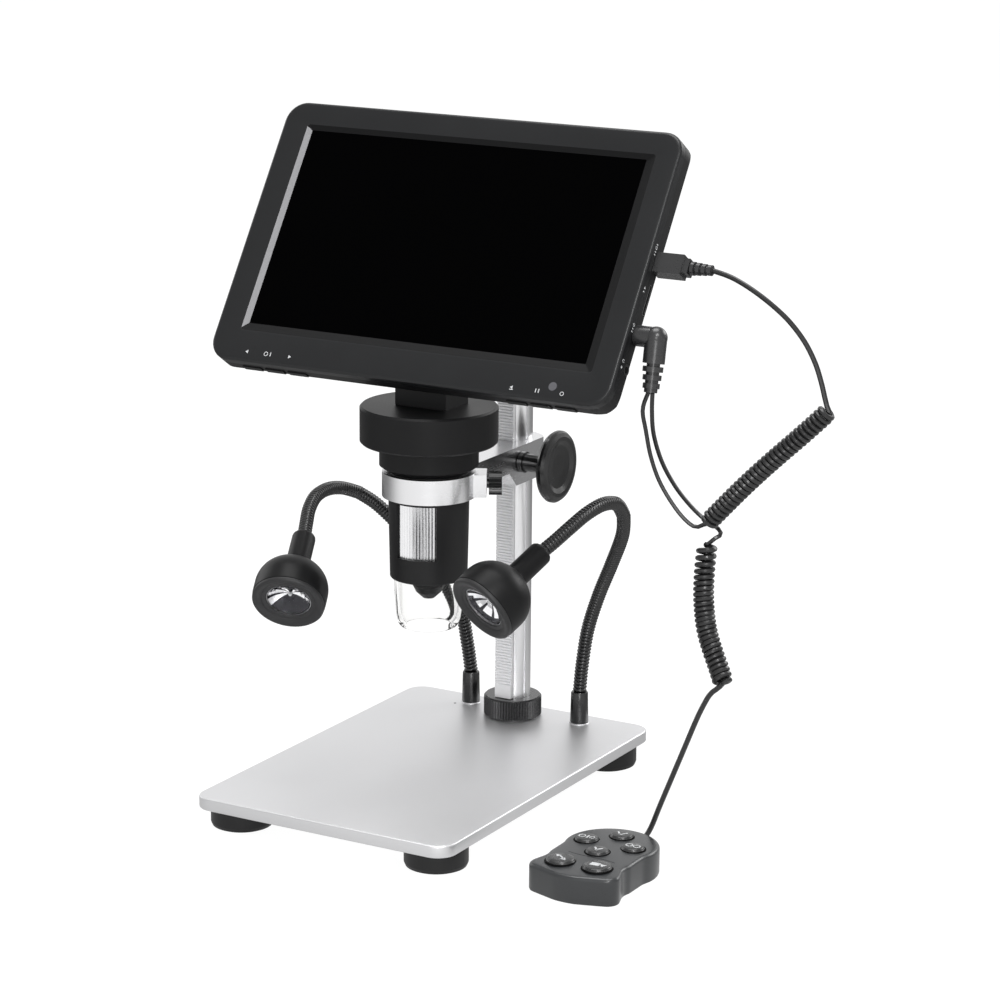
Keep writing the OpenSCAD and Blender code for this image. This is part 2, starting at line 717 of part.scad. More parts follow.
module hinge_bracket() {
    on_screen() color("dimgray") {
        difference() {
            translate([-18, -44, -rim_t - 1.2]) cube([36, 14, 1.2]);
            for (x = [-1, 1], v = [-40.5, -33.5]) translate([6 * x, v, -rim_t - 2]) cylinder(r = 1.22, h = 5);
        }
        for (side = [-1, 1]) translate([side > 0 ? ear_x0 : -ear_x1, 0, 0]) difference() {
            rotate([90, 0, 90]) linear_extrude(ear_x1 - ear_x0) union() {
                translate([hinge_v, -hinge_depth]) circle(5);
                translate([hinge_v - 5, -hinge_depth]) square([10, hinge_depth - rim_t - 1.2 + e]);
            }
            translate([-10, hinge_v, -hinge_depth]) x_bar(pin_r + 0.05, 0, 30);
        }
    }
}

module screen_screws() {
    on_screen() color("dimgray") {
        for (x = [-1, 1], y = [-1, 1]) translate([x * case_screw[0], y * case_screw[1], 0]) {
            translate([0, 0, -rim_t + 0.1]) cylinder(r = 1.9, h = 1.09);
            translate([0, 0, -rim_t + 0.1]) cylinder(r = 0.98, h = 8);
        }
        for (x = [-1, 1], v = [-40.5, -33.5]) translate([6 * x, v, 0]) {
            translate([0, 0, -rim_t - 2.5]) cylinder(r = 2.2, h = 1.3 - e);
            translate([0, 0, -rim_t - 2]) cylinder(r = 1.2, h = 3.4);
        }
    }
}

// Key i sits in the bottom edge. A flange behind the wall keeps it in.
module screen_key(i) {
    on_screen() color("dimgray") translate([key_x[i], 0, key_z]) {
        translate([-key_l / 2, -screen_h / 2 - 0.5, -key_t / 2]) cube([key_l, 2.9, key_t]);
        translate([-key_l / 2 - 0.6, -screen_h / 2 + wall + 0.05, -key_t / 2])
            cube([key_l + 1.2, 1.4, key_t]);
    }
}
module screen_key_1() { screen_key(0); }
module screen_key_2() { screen_key(1); }
module screen_key_3() { screen_key(2); }
module screen_key_4() { screen_key(3); }
module screen_key_5() { screen_key(4); }
module screen_key_6() { screen_key(5); }

// ---------- lamps ----------
module lamp_place(neck, droop, side) {
    on_stand() translate(neck + lamp_length * lamp_axis(droop, side))
        rotate([0, 90 + droop, -90 - side * lamp_turn]) children();
}

// Head with its front face at z = 0, looking along +z
module lamp_head() {
    dome = [for (a = [0 : 10 : 70]) [lamp_r * cos(a) + 0.2 * sin(a), -8 - 14.6 * sin(a)]];
    rotate_extrude() polygon(concat(
        [[9.3, -2.2], [9.3, -0.4], [9.9, 0], [lamp_r - 1, 0], [lamp_r, -1]],
        dome,
        [[4.8, -22.4], [4.8, -lamp_length + 1], [3.9, -lamp_length], [0, -lamp_length],
         [0, -20], [8.6, -12], [13, -8], [13, -2.2]]
    ));
}

module lamp_optics() {
    color("silver") rotate_extrude() polygon([
        [3, -10], [6, -7.6], [8.4, -4.4], [9.6, -3.6], [12.9, -3.6], [12.9, -4.4], [10, -5.2],
        [7.4, -9], [3, -11]
    ]);
    color("lightyellow") translate([0, 0, -11.4]) cylinder(r = 2.9, h = 2.6);
    color("darkgreen") translate([0, 0, -12.6]) cylinder(r = 7, h = 1.2);
    color("lightcyan", 0.5) translate([0, 0, -3.6 + e]) cylinder(r = 12.9, h = 1.3);
}

module gooseneck(route, from, to, first_dir, last_dir) {
    on_stand() color("black") swept_tube(
        smooth_route([for (i = [from : to]) route[i]], 3), gooseneck_r, 12, first_dir, last_dir
    );
}

function route_dir(route, i) = route[i + 1] - route[i - 1];
module gooseneck_lower_right() {
    gooseneck(right_route, 0, gooseneck_split, [0, 0, 1], route_dir(right_route, gooseneck_split));
}
module gooseneck_upper_right() {
    gooseneck(
        right_route, gooseneck_split, len(right_route) - 1,
        route_dir(right_route, gooseneck_split), lamp_axis(right_droop, 1)
    );
}
module gooseneck_lower_left() {
    gooseneck(left_route, 0, gooseneck_split, [0, 0, 1], route_dir(left_route, gooseneck_split));
}
module gooseneck_upper_left() {
    gooseneck(
        left_route, gooseneck_split, len(left_route) - 1,
        route_dir(left_route, gooseneck_split), lamp_axis(left_droop, -1)
    );
}
module lamp_head_right() { color("black") lamp_place(right_neck, right_droop, 1) lamp_head(); }
module lamp_head_left() { color("black") lamp_place(left_neck, left_droop, -1) lamp_head(); }
module lamp_optics_right() { lamp_place(right_neck, right_droop, 1) lamp_optics(); }
module lamp_optics_left() { lamp_place(left_neck, left_droop, -1) lamp_optics(); }

// ---------- remote ----------
module remote_outline(inset = 0) {
    offset(delta = -inset) offset(r = -9) offset(r = 9) union() {
        translate([0, remote_arc_y]) circle(remote_arc_r);
        translate([-17.3, -60]) square([34.6, 16]);
        hull() {
            for (x = [-1, 1]) {
                translate([x * 13.9, -71.8]) circle(5, $fn = hull_fn);
                translate([x * 1.5, -66.4]) circle(14, $fn = hull_fn);
            }
            translate([-17.6, -68]) square([35.2, 1]);
        }
    }
}

module remote_cord_bore() {
    translate(remote_cord_hole - [remote_x, 0, 0]) rotate([-90, 0, 0]) cylinder(r = 1.2, h = 12);
}

module remote_lower_case() {
    translate([remote_x, 0, 0]) color("dimgray") difference() {
        linear_extrude(remote_split) remote_outline();
        translate([0, 0, remote_shell]) linear_extrude(remote_split) remote_outline(remote_shell);
        remote_cord_bore();
    }
}

module remote_upper_case() {
    translate([remote_x, 0, 0]) color("dimgray") difference() {
        intersection() {
            translate([0, 0, remote_split]) linear_extrude(remote_top - remote_split)
                remote_outline();
            translate([0, -50, remote_top - remote_dome_r]) sphere(remote_dome_r, $fn = 180);
        }
        translate([0, 0, remote_split - 1]) linear_extrude(remote_h - 1.2 - remote_split + 1)
            remote_outline(remote_shell);
        for (k = remote_keys) translate([k[0], remote_mid_y + k[1], remote_split])
            cylinder(r = k[2] + 0.2, h = 20);
        remote_cord_bore();
    }
}

module remote_board() {
    translate([remote_x, 0, 0]) color("darkgreen") {
        translate([0, 0, 5.2]) linear_extrude(1.2) remote_outline(3);
        for (x = [-11, 11], y = [-66, -40]) translate([x, y, remote_shell])
            cylinder(r = 1.6, h = 3.61);
    }
}

module remote_key_mat() {
    translate([remote_x, 0, 6.4]) color("gray") {
        linear_extrude(0.8) remote_outline(3.4);
        for (k = remote_keys) translate([k[0], remote_mid_y + k[1], 0.79])
            cylinder(r = 3, h = 0.9);
    }
}

// Key i: a domed cap with a flange under the roof
module remote_key(i) {
    k = remote_keys[i];
    translate([remote_x + k[0], remote_mid_y + k[1], 0]) color("dimgray") rotate_extrude() polygon([
        [0, 8.7], [k[2] + 0.5, 8.7], [k[2] + 0.5, 9.6], [k[2], 9.6], [k[2], 12],
        [k[2] - 0.5, 12.4], [k[2] - 1.8, 12.7], [0, 12.8]
    ]);
}
module remote_key_1() { remote_key(0); }
module remote_key_2() { remote_key(1); }
module remote_key_3() { remote_key(2); }
module remote_key_4() { remote_key(3); }
module remote_key_5() { remote_key(4); }
module remote_key_6() { remote_key(5); }

// ---------- plugs and cords ----------
module usb_plug() {
    side_x = stand_x + screen_side;
    color("silver") on_screen() translate([85, usb_v - 3.42, port_z - 0.88])
        cube([screen_side - 85 + 0.1, 6.84, 1.76]);
    color("black") {
        on_screen() translate([screen_side + 0.1, usb_v, port_z]) {
            translate([0, -4.1, -3.25]) cube([11.8, 8.2, 6.5]);
            translate([11.8 - e, -3, -2.5]) cube([2.5, 6, 5]);
        }
        translate([side_x + 14.3, usb_end[1], usb_end[2]]) {
            x_bar(1.6, 0, usb_end[0] - side_x - 14.3);
            for (i = [0 : 3]) x_bar(2.7 - 0.2 * i, 0.6 + 2.4 * i, 2 + 2.4 * i);
        }
    }
}

module jack_plug() {
    translate(jack_port) {
        color("silver") x_bar(1.28, -7, 0.2);
        color("black") {
            x_bar(4.1, 0.15, elbow_x - jack_port[0]);
            translate([elbow_x - jack_port[0], 0, 0]) rotate([-jack_turn, 0, 0]) {
                sphere(4.4);
                translate([0, 0, -9.8]) cylinder(r = 4.3, h = 9.8);
                translate([0, 0, -elbow_drop]) cylinder(r = 2.6, h = 12);
                for (i = [0 : 2]) translate([0, 0, -13 - 3.2 * i]) cylinder(r = 4 - 0.35 * i, h = 2);
            }
        }
    }
}

jack_down = [0, -sin(jack_turn), -cos(jack_turn)];
module usb_lead() {
    color("black") swept_tube(smooth_route(usb_route, 2), cord_d / 2, 8, [1, 0, 0]);
}
module power_coil() {
    color("black") swept_tube(smooth_route(power_coil_route, 2), power_coil_d / 2, 12);
}
module jack_lead() {
    color("black") swept_tube(smooth_route(jack_route, 2), 0.85, 8, jack_down);
}
module remote_lead() {
    color("black") swept_tube(smooth_route(remote_lead_route, 2), 0.85, 8, jack_down);
}
module remote_coil() {
    color("black") swept_tube(smooth_route(remote_coil_route, 2), remote_coil_d / 2, 12);
}
module remote_cord() {
    color("black") swept_tube(smooth_route(remote_route, 2), cord_d / 2, 8, undef, [0, -1, 0]);
}

base_plate();
rubber_feet();
base_screws();
column();
column_rack();
column_nut();
lamp_ferrules();
carriage_arm();
pinion_bushes();
height_knob();
pinion_shaft();
clamp_screw();
tube_shell();
head_housing();
sensor_board();
led_board();
clear_nozzle();
neck_post();
hinge_pin();
focus_drum();
lens_barrel();
lens_elements();
screen_bezel();
screen_back();
lcd_panel();
main_board();
hinge_bracket();
screen_screws();
screen_key_1();
screen_key_2();
screen_key_3();
screen_key_4();
screen_key_5();
screen_key_6();
gooseneck_lower_right();
gooseneck_upper_right();
lamp_head_right();
lamp_optics_right();
gooseneck_lower_left();
gooseneck_upper_left();
lamp_head_left();
lamp_optics_left();
remote_lower_case();
remote_upper_case();
remote_board();
remote_key_mat();
remote_key_1();
remote_key_2();
remote_key_3();
remote_key_4();
remote_key_5();
remote_key_6();
usb_plug();
jack_plug();
usb_lead();
power_coil();
jack_lead();
remote_lead();
remote_coil();
remote_cord();
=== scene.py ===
import json
import math

import bmesh
import bpy
from mathutils import Matrix, Vector


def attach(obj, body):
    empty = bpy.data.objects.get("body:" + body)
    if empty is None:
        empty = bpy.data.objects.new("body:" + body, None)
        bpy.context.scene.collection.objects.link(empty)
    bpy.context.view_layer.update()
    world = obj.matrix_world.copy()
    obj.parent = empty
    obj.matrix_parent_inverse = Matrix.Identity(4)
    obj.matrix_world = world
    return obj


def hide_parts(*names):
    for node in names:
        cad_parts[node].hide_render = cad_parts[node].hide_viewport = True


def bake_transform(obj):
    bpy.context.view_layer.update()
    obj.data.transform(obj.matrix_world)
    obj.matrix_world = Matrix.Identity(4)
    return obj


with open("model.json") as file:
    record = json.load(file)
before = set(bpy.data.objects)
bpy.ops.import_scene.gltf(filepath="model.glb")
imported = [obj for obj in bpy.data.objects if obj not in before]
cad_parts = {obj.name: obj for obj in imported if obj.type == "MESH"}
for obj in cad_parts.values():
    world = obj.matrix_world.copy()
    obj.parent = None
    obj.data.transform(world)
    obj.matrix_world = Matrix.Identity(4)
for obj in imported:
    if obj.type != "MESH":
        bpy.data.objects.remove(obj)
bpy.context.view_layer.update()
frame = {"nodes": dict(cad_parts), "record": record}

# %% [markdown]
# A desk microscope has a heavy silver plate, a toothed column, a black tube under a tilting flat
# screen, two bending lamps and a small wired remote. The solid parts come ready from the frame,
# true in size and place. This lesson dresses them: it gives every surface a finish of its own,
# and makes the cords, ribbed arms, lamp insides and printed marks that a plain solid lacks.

MM = 0.001
STAND_X = -18                      # the centre plane of stand, tube and screen

# %% [markdown]
# The camera stands to the right of the operator's seat and a little above the tube, far off with
# a long lens, so that the plate's edges run almost parallel. A camera looks along its own -Z, so
# its matrix is built from three directions: right, up and back.

# %% Camera
AZIMUTH = math.radians(29.66)        # to the right of straight ahead
ELEVATION = math.radians(14.28)
ROLL = math.radians(0.43)
DISTANCE = 1284.09
TARGET = Vector((15.73, 0, 128.31))
FOCAL_PIXELS = 3241.43
IMAGE_PIXELS = 1000
SENSOR = 36
CLIP_NEAR, CLIP_FAR = 0.05, 20       # in metres

back = Vector((
    math.sin(AZIMUTH) * math.cos(ELEVATION),
    -math.cos(AZIMUTH) * math.cos(ELEVATION),
    math.sin(ELEVATION),
))
level_right = (-back).cross(Vector((0, 0, 1))).normalized()
level_up = level_right.cross(-back)
right = math.cos(ROLL) * level_right + math.sin(ROLL) * level_up
up = -math.sin(ROLL) * level_right + math.cos(ROLL) * level_up
camera = bpy.data.objects.new("camera", bpy.data.cameras.new("camera"))
camera.data.sensor_width = SENSOR
camera.data.lens = FOCAL_PIXELS / IMAGE_PIXELS * SENSOR
camera.data.clip_start = CLIP_NEAR
camera.data.clip_end = CLIP_FAR
camera.matrix_world = Matrix.Translation((TARGET + DISTANCE * back) * MM) @ Matrix(
    (right, up, back)
).transposed().to_4x4()
bpy.context.scene.collection.objects.link(camera)
bpy.context.scene.camera = camera
print("lens in mm:", round(camera.data.lens, 1))

# %% [markdown]
# Finishes come before shapes, because each piece is handed its finish as it is made. A finish is
# a small network of nodes. Writing it as sums and products is easier to read than wiring nodes
# one by one, so one class wraps a node's output and adds the Math node that each sign stands for.


# %% Arithmetic on node outputs
class Signal:
    """An output of a node. Sums, products and powers of it make Math nodes."""

    def __init__(self, finish, socket):
        self.finish = finish
        self.socket = socket

    def math(self, operation, *values):
        return self.finish.node("ShaderNodeMath", {"operation": operation}, *values)

    def __add__(self, other):
        return self.math("ADD", self, other)

    def __sub__(self, other):
        return self.math("SUBTRACT", self, other)

    def __mul__(self, other):
        return self.math("MULTIPLY", self, other)

    def __pow__(self, other):
        return self.math("POWER", self, other)

    __radd__ = __add__
    __rmul__ = __mul__

    def __rsub__(self, other):
        return self.math("SUBTRACT", other, self)


print("signs that make nodes: + - * **")

# %% [markdown]
# One method makes every other node. It sets the node's own settings first, then its sockets, with
# a number, a colour or another signal. The last step joins the results to the Principled shader.

# %% Finishes as small node networks
MIX_INPUTS = (0, 6, 7)               # of a Mix node: the amount and the two colours
MIX_OUTPUT = 2                       # and the mixed colour


class Finish:
    """A material, with one method that makes any node."""

    def __init__(self, name, **fixed):
        self.material = bpy.data.materials.new(name)
        self.material.use_nodes = True
        self.tree = self.material.node_tree
        self.shader = self.tree.nodes["Principled BSDF"]
        self.output = self.tree.nodes["Material Output"]
        self.place = self.node("ShaderNodeTexCoord", out="Object")
        self.set(**fixed)

    def join(self, socket, value):
        if isinstance(value, Signal):
            self.tree.links.new(value.socket, socket)
        elif isinstance(value, tuple) and len(value) == 3 and len(socket.default_value) == 4:
            socket.default_value = (*value, 1)
        else:
            socket.default_value = value

    def node(self, kind, settings=None, *values, out=0, **named):
        made = self.tree.nodes.new(kind)
        for key, value in (settings or {}).items():
            setattr(made, key, value)
        for socket, value in zip(made.inputs, values):
            self.join(socket, value)
        for key, value in named.items():
            self.join(made.inputs[key.replace("_", " ")], value)
        return Signal(self, made.outputs[out])

    def set(self, **named):
        for key, value in named.items():
            self.join(self.shader.inputs[key.replace("_", " ")], value)

    def noise(self, scale, detail=2.0, stretch=(1, 1, 1)):
        where = self.node("ShaderNodeMapping", None, Vector=self.place, Scale=stretch)
        return self.node(
            "ShaderNodeTexNoise", None, Vector=where, Scale=scale, Detail=detail, out="Fac"
        )

    def shades(self, amount, dark, light):
        mixed = self.node("ShaderNodeMix", {"data_type": "RGBA"}, out=MIX_OUTPUT)
        for number, value in zip(MIX_INPUTS, (amount, dark, light)):
            self.join(mixed.socket.node.inputs[number], value)
        return mixed

    def bump(self, height, strength, depth):
        return self.node(
            "ShaderNodeBump", None, Strength=strength, Distance=depth * MM, Height=height,
            out="Normal",
        )


print("ready to mix finishes")

# %% [markdown]
# Cast and drawn metal is never one even grey. The plate is bead-blasted and anodised, so it is
# satin, with a very fine grain. The column is drawn and the arm's ring is turned, so faint streaks
# run along the one and round the other, and the gloss changes across them. Only the chrome in the
# lamps is near to a mirror. A grain is given as the number of its specks along a metre.

# %% Metal finishes
METAL_CLOUDS = 28
METAL_SHADE = 0.93
finishes = {}


def metal(name, colour, rough, grain, streak=None, gloss_change=0.08, depth=0.001):
    """A metal with a fine grain under soft clouds. streak draws the grain out one way."""
    made = Finish(name, Metallic=1.0)
    fine = made.noise(grain, 3)
    cloud = made.noise(METAL_CLOUDS, 2)
    if streak:
        fine = 0.35 * fine + 0.65 * made.noise(grain, 2, streak)
    low = tuple(c * METAL_SHADE for c in colour)
    made.set(
        Base_Color=made.shades(0.5 * fine + 0.5 * cloud, low, colour),
        Roughness=rough + gloss_change * (fine - 0.5) + 0.05 * (cloud - 0.5),
        Normal=made.bump(fine, 0.35, depth),
    )
    finishes[name] = made


metal("silver_anodised", (0.70, 0.70, 0.71), 0.44, 2600, depth=0.002)
metal("silver_turned", (0.80, 0.80, 0.81), 0.27, 1500, (1, 1, 0.02))
metal("column_silver", (0.82, 0.82, 0.83), 0.3, 420, (1, 1, 0.004), 0.04, 0.0002)
metal("rack_silver", (0.95, 0.95, 0.96), 0.55, 1500, depth=0.0005)
metal("ring_silver", (0.78, 0.78, 0.79), 0.26, 1500, (0.02, 0.02, 1), depth=0.0004)
metal("steel", (0.55, 0.55, 0.56), 0.3, 1800)
metal("brass", (0.75, 0.55, 0.24), 0.3, 1800)
metal("lamp_chrome", (0.92, 0.92, 0.93), 0.07, 900, gloss_change=0.02, depth=0.0003)
# painted reflection: the dark facets in the lamp bowls
metal("facet_dark", (0.05, 0.05, 0.055), 0.2, 900, depth=0.0003)
print("metals:", sorted(finishes))

# %% [markdown]
# Black is never one black. Moulded plastic has a fine spark-eroded grain and the screen's housing
# a finer one, the feet are dull rubber, and sleeves, grips and cords shine like vinyl. Each gets a
# bump at its own scale, a cloudy change of gloss and a slight change of shade. The few grey, green
# and white plastics are made the same way.

# %% Plastic and rubber finishes
PLASTIC_CLOUDS = 35
PLASTIC_SHADE, PLASTIC_LIGHT = 0.75, 1.2


def moulded(name, colour, rough, grain, depth, shine=0.5):
    """A plastic or rubber with a moulded grain, as deep as depth in millimetres."""
    made = Finish(name, Specular_IOR_Level=shine)
    fine = made.noise(grain, 2)
    cloud = made.noise(PLASTIC_CLOUDS, 3)
    low = tuple(c * PLASTIC_SHADE for c in colour)
    high = tuple(c * PLASTIC_LIGHT for c in colour)
    made.set(
        Base_Color=made.shades(0.5 * fine + 0.5 * cloud, low, high),
        Roughness=rough + 0.10 * (cloud - 0.5) + 0.08 * (fine - 0.5),
        Normal=made.bump(fine, 0.4, depth),
    )
    finishes[name] = made


moulded("black_plastic", (0.0045, 0.0045, 0.005), 0.5, 1700, 0.008, 0.3)
moulded("head_black", (0.0042, 0.0042, 0.0046), 0.42, 1700, 0.004, 0.2)
# painted reflection: the lamp's front ring is a lighter black than the bell
moulded("ring_black", (0.018, 0.018, 0.019), 0.5, 1700, 0.008, 0.4)
# painted shade: the keys' walls are darker than their caps
moulded("key_wall", (0.004, 0.004, 0.0042), 0.4, 1500, 0.004, 0.3)
moulded("grip_black", (0.02, 0.02, 0.021), 0.28, 1200, 0.005, 0.6)
moulded("shadow_black", (0.0008, 0.0008, 0.0008), 0.7, 1700, 0.005, 0.1)
moulded("screen_black", (0.009, 0.0094, 0.0103), 0.34, 2200, 0.006, 0.32)
# painted shade: the window slope is darker than the frame
moulded("frame_shade", (0.0035, 0.0036, 0.004), 0.5, 2200, 0.006, 0.15)
# painted highlight: the grey strip on the left of the window slope
moulded("edge_grey", (0.25, 0.25, 0.26), 0.5, 1700, 0.008)
moulded("black_gloss", (0.008, 0.008, 0.0085), 0.24, 900, 0.003, 0.6)
moulded("picture_black", (0.0006, 0.0006, 0.0007), 0.10, 500, 0.0005, 0.01)
moulded("black_rubber", (0.006, 0.006, 0.0065), 0.5, 1300, 0.015, 0.4)
moulded("sleeve_black", (0.004, 0.004, 0.0045), 0.28, 1300, 0.006, 0.6)
moulded("cord_black", (0.012, 0.012, 0.0125), 0.3, 900, 0.003)
moulded("remote_grey", (0.024, 0.026, 0.028), 0.3, 1500, 0.01, 0.6)
moulded("key_rubber", (0.011, 0.0115, 0.0122), 0.28, 1500, 0.01, 0.7)
# painted shade: the dark line of the groove on the remote's roof
moulded("engraving", (0.006, 0.006, 0.0065), 0.5, 1500, 0.005, 0.3)
moulded("board_green", (0.01, 0.10, 0.04), 0.4, 900, 0.01)
moulded("mark_white", (0.62, 0.63, 0.64), 0.6, 1500, 0.005)
moulded("sensor_grey", (0.10, 0.10, 0.11), 0.25, 900, 0.002)
print("finishes so far:", len(finishes))

# %% [markdown]
# The nozzle round the lens is clear moulded plastic and the lamp windows are clear too. Clear
# plastic shows the bright room through itself. It needs a smooth surface with a slight waviness
# from the mould, and a tint that deepens where the surface turns away from the eye.

# %% Clear finishes


def clear(name, tint, rough, bending=1.47, edge=0.9):
    """A clear finish. bending is its refractive index, edge the tint's share at the rim."""
    made = Finish(name, Transmission_Weight=1.0, IOR=bending)
    wave = made.noise(160, 1)
    slant = made.node("ShaderNodeLayerWeight", None, Blend=0.5, out="Facing")
    deeper = tuple(c * edge for c in tint)
    made.set(
        Base_Color=made.shades(slant ** 4, tint, deeper), Roughness=rough + 0.03 * wave,
        Normal=made.bump(wave, 0.25, 0.15),
    )
    finishes[name] = made


clear("clear_plastic", (0.965, 0.965, 0.96), 0.01, 1.06, 0.5)
clear("clear_edge", (0.86, 0.86, 0.855), 0.0, 1.02)
clear("lens_glass", (0.92, 0.96, 1.0), 0.0)
clear("lamp_clear", (0.99, 0.99, 0.99), 0.0, 1.02)
print("all finishes:", len(finishes))

# %% [markdown]
# A piece is finished work: a mesh object at the origin, with its finish and the body that it
# moves with. Shapes are drawn in millimetres round their own centre, and one matrix takes them to
# their place.

# %% Pieces and places
SLOTS = {material["slot"] for material in frame["record"]["materials"]}
SCREEN_LEAN = 33.4                   # degrees back from upright
SCREEN_CENTRE = (STAND_X, 9.496, 225.321)
SCREEN_SIDE = 92.2                   # from the screen's centre to its right side
REMOTE_X, REMOTE_Y = 90, -45
SHARP_EDGE = math.radians(38)        # edges turned more than this stay crisp
STAND = Matrix.Translation((STAND_X, 0, 0))
SCREEN = Matrix.Translation(SCREEN_CENTRE) @ Matrix.Rotation(
    math.radians(90 - SCREEN_LEAN), 4, "X"
)
REMOTE = Matrix.Translation((REMOTE_X, REMOTE_Y, 0))


def add_piece(name, mesh, finish, body=None, nodes=(), slot=None, smooth=True, place=None):
    """Links a mesh as a finished piece. A bmesh in millimetres is made a mesh first."""
    if isinstance(mesh, bmesh.types.BMesh):
        bmesh.ops.transform(
            mesh, matrix=Matrix.Scale(MM, 4) @ (place or Matrix()), verts=mesh.verts
        )
        bmesh.ops.recalc_face_normals(mesh, faces=mesh.faces)
        made = bpy.data.meshes.new(name)
        mesh.to_mesh(made)
        mesh.free()
        mesh = made
    piece = bpy.data.objects.new(name, mesh)
    bpy.context.scene.collection.objects.link(piece)
    piece.data.materials.clear()
    piece.data.materials.append(finishes[finish].material)
    for face in piece.data.polygons:
        face.use_smooth = smooth
    if smooth:
        piece.data.set_sharp_from_angle(angle=SHARP_EDGE)
    if body:
        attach(piece, body)
    if nodes:
        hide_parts(*nodes)
    (slot or finish) in SLOTS
    return piece


print("screen leans back", SCREEN_LEAN, "degrees")

# %% [markdown]
# A cord is a fixed length of something bendy. Its line is a smooth curve through given points,
# from the plug down to the coil. A curve object with a round bevel and a radius at each point
# sweeps a clean tube along any line, so the same tool makes cords, coils and ribbed arms.


# %% Smooth lines and swept tubes
def smooth_line(points, steps):
    """A Catmull-Rom curve through the points, which may be tuples."""
    points = [Vector(p) for p in points]
    last = len(points) - 1
    line = []
    for i in range(last):
        a, b = points[max(i - 1, 0)], points[i]
        c, d = points[i + 1], points[min(i + 2, last)]
        for s in range(steps):
            t = s / steps
            line.append(0.5 * (
                2 * b + (c - a) * t + (2 * a - 5 * b + 4 * c - d) * t ** 2
                + (3 * b - a - 3 * c + d) * t ** 3
            ))
    return line + [points[last]]


def line_length(line):
    return sum((b - a).length for a, b in zip(line, line[1:]))


def even_line(line, step):
    """The same line with its points a fixed distance apart."""
    count = max(2, round(line_length(line) / step))
    gap = line_length(line) / count
    even, walked, target = [line[0]], 0.0, gap
    for a, b in zip(line, line[1:]):
        length = (b - a).length
        while target <= walked + length and len(even) < count:
            even.append(a.lerp(b, (target - walked) / length))
            target += gap
        walked += length
    return even + [line[-1]]


def sweep(line, radii, sides=12):
    """A tube along the line, in millimetres, as a mesh in metres."""
    curve = bpy.data.curves.new("sweep", "CURVE")
    curve.dimensions = "3D"
    curve.twist_mode = "MINIMUM"
    curve.bevel_depth = MM
    curve.bevel_resolution = sides // 4 - 1
    curve.use_fill_caps = True
    spline = curve.splines.new("POLY")
    spline.points.add(len(line) - 1)
    for point, place, radius in zip(spline.points, line, radii):
        point.co = (*(place * MM), 1)
        point.radius = radius
    holder = bpy.data.objects.new("sweep", curve)
    mesh = bpy.data.meshes.new_from_object(holder)
    bpy.data.objects.remove(holder)
    bpy.data.curves.remove(curve)
    tidy = bmesh.new()
    tidy.from_mesh(mesh)
    bmesh.ops.remove_doubles(tidy, verts=tidy.verts, dist=1e-7)
    bmesh.ops.recalc_face_normals(tidy, faces=tidy.faces)
    tidy.to_mesh(mesh)
    tidy.free()
    return mesh


print("tube tools ready")

# %% [markdown]
# A curly cord is a helix round a sagging line. The wire runs round the line at the coil's radius
# less its own, and the turns of a tight coil lie one wire apart. At each end the radius shrinks
# to nothing over part of a turn, so that the straight lead flows into the coil with no kink.


# %% Helix round a line
def helix(line, radius, turns, lead=0.6, per_turn=18, crowd=0.0):
    """Points round the line. crowd packs the turns towards the line's end."""
    fine = even_line(line, 0.5)
    total = len(fine) - 1
    count = round(turns * per_turn)
    side = (fine[1] - fine[0]).orthogonal().normalized()
    frames = []
    for i, here in enumerate(fine):
        ahead = (fine[min(i + 1, total)] - fine[max(i - 1, 0)]).normalized()
        side = (side - ahead * side.dot(ahead)).normalized()
        frames.append((here, side, ahead.cross(side)))
    points = []
    for k in range(count + 1):
        share = k / count
        share += crowd * share * (1 - share) ** 3
        at = share * total
        low = min(int(at), total - 1)
        (a, s0, u0), (b, s1, u1) = frames[low], frames[low + 1]
        mix = at - low
        here, s, u = a.lerp(b, mix), s0.lerp(s1, mix), u0.lerp(u1, mix)
        turned = k / per_turn
        ramp = min(1, turned / lead, (count / per_turn - turned) / lead)
        ramp = ramp * ramp * (3 - 2 * ramp)
        angle = 2 * math.pi * turned
        points.append(here + radius * ramp * (math.cos(angle) * s + math.sin(angle) * u))
    return points


print("helix ready")

# %% [markdown]
# Two cords leave the jack. The power cord runs down from the jack, through a long tight coil that
# leans to the upper right, and back up to the plug in the screen's side: one length from plug to
# plug. Its coil hangs beside the tube.

# %% Power cord
CORD_R = 1.05
LEAD_R = 0.85                        # the two cords are thinner where they leave the jack
CORD_STEP = 2                        # between the points of a straight stretch
COIL_R = 2.9
COIL_PITCH = 2.14
PORT_DEPTH = 7.4                     # how far the sockets lie behind the screen's front


def screen_point(x, v, depth):
    """A point of the screen's own frame, in the object's frame, in millimetres."""
    return SCREEN @ Vector((x, v, -depth))


USB_END = screen_point(116, 5, PORT_DEPTH)
jack_port = screen_point(SCREEN_SIDE, -24.8, PORT_DEPTH)
ELBOW_X = 82.6
ELBOW_DROP = 21
JACK_TURN = math.radians(11)
JACK_END = Vector((
    ELBOW_X,
    jack_port.y - ELBOW_DROP * math.sin(JACK_TURN),
    jack_port.z - ELBOW_DROP * math.cos(JACK_TURN),
))
JACK_SIDE = Vector((0.9, 0, 0))      # from the middle of the elbow to each cord
usb_route = [
    USB_END, (106, 18.3, 223.6), (115, 17.8, 219.8), (124, 17.2, 214.7), (131.5, 16.6, 209.3),
    (138.2, 16, 202.4), (143, 15.4, 195), (146, 14.8, 188), (148, 14.3, 182), (149.6, 14, 177.4),
]
power_coil_route = [
    (104, 6, 129.4), (117.3, 8, 144.4), (128.7, 10, 156.3), (141, 12, 168.4), (150, 14, 177.7),
]
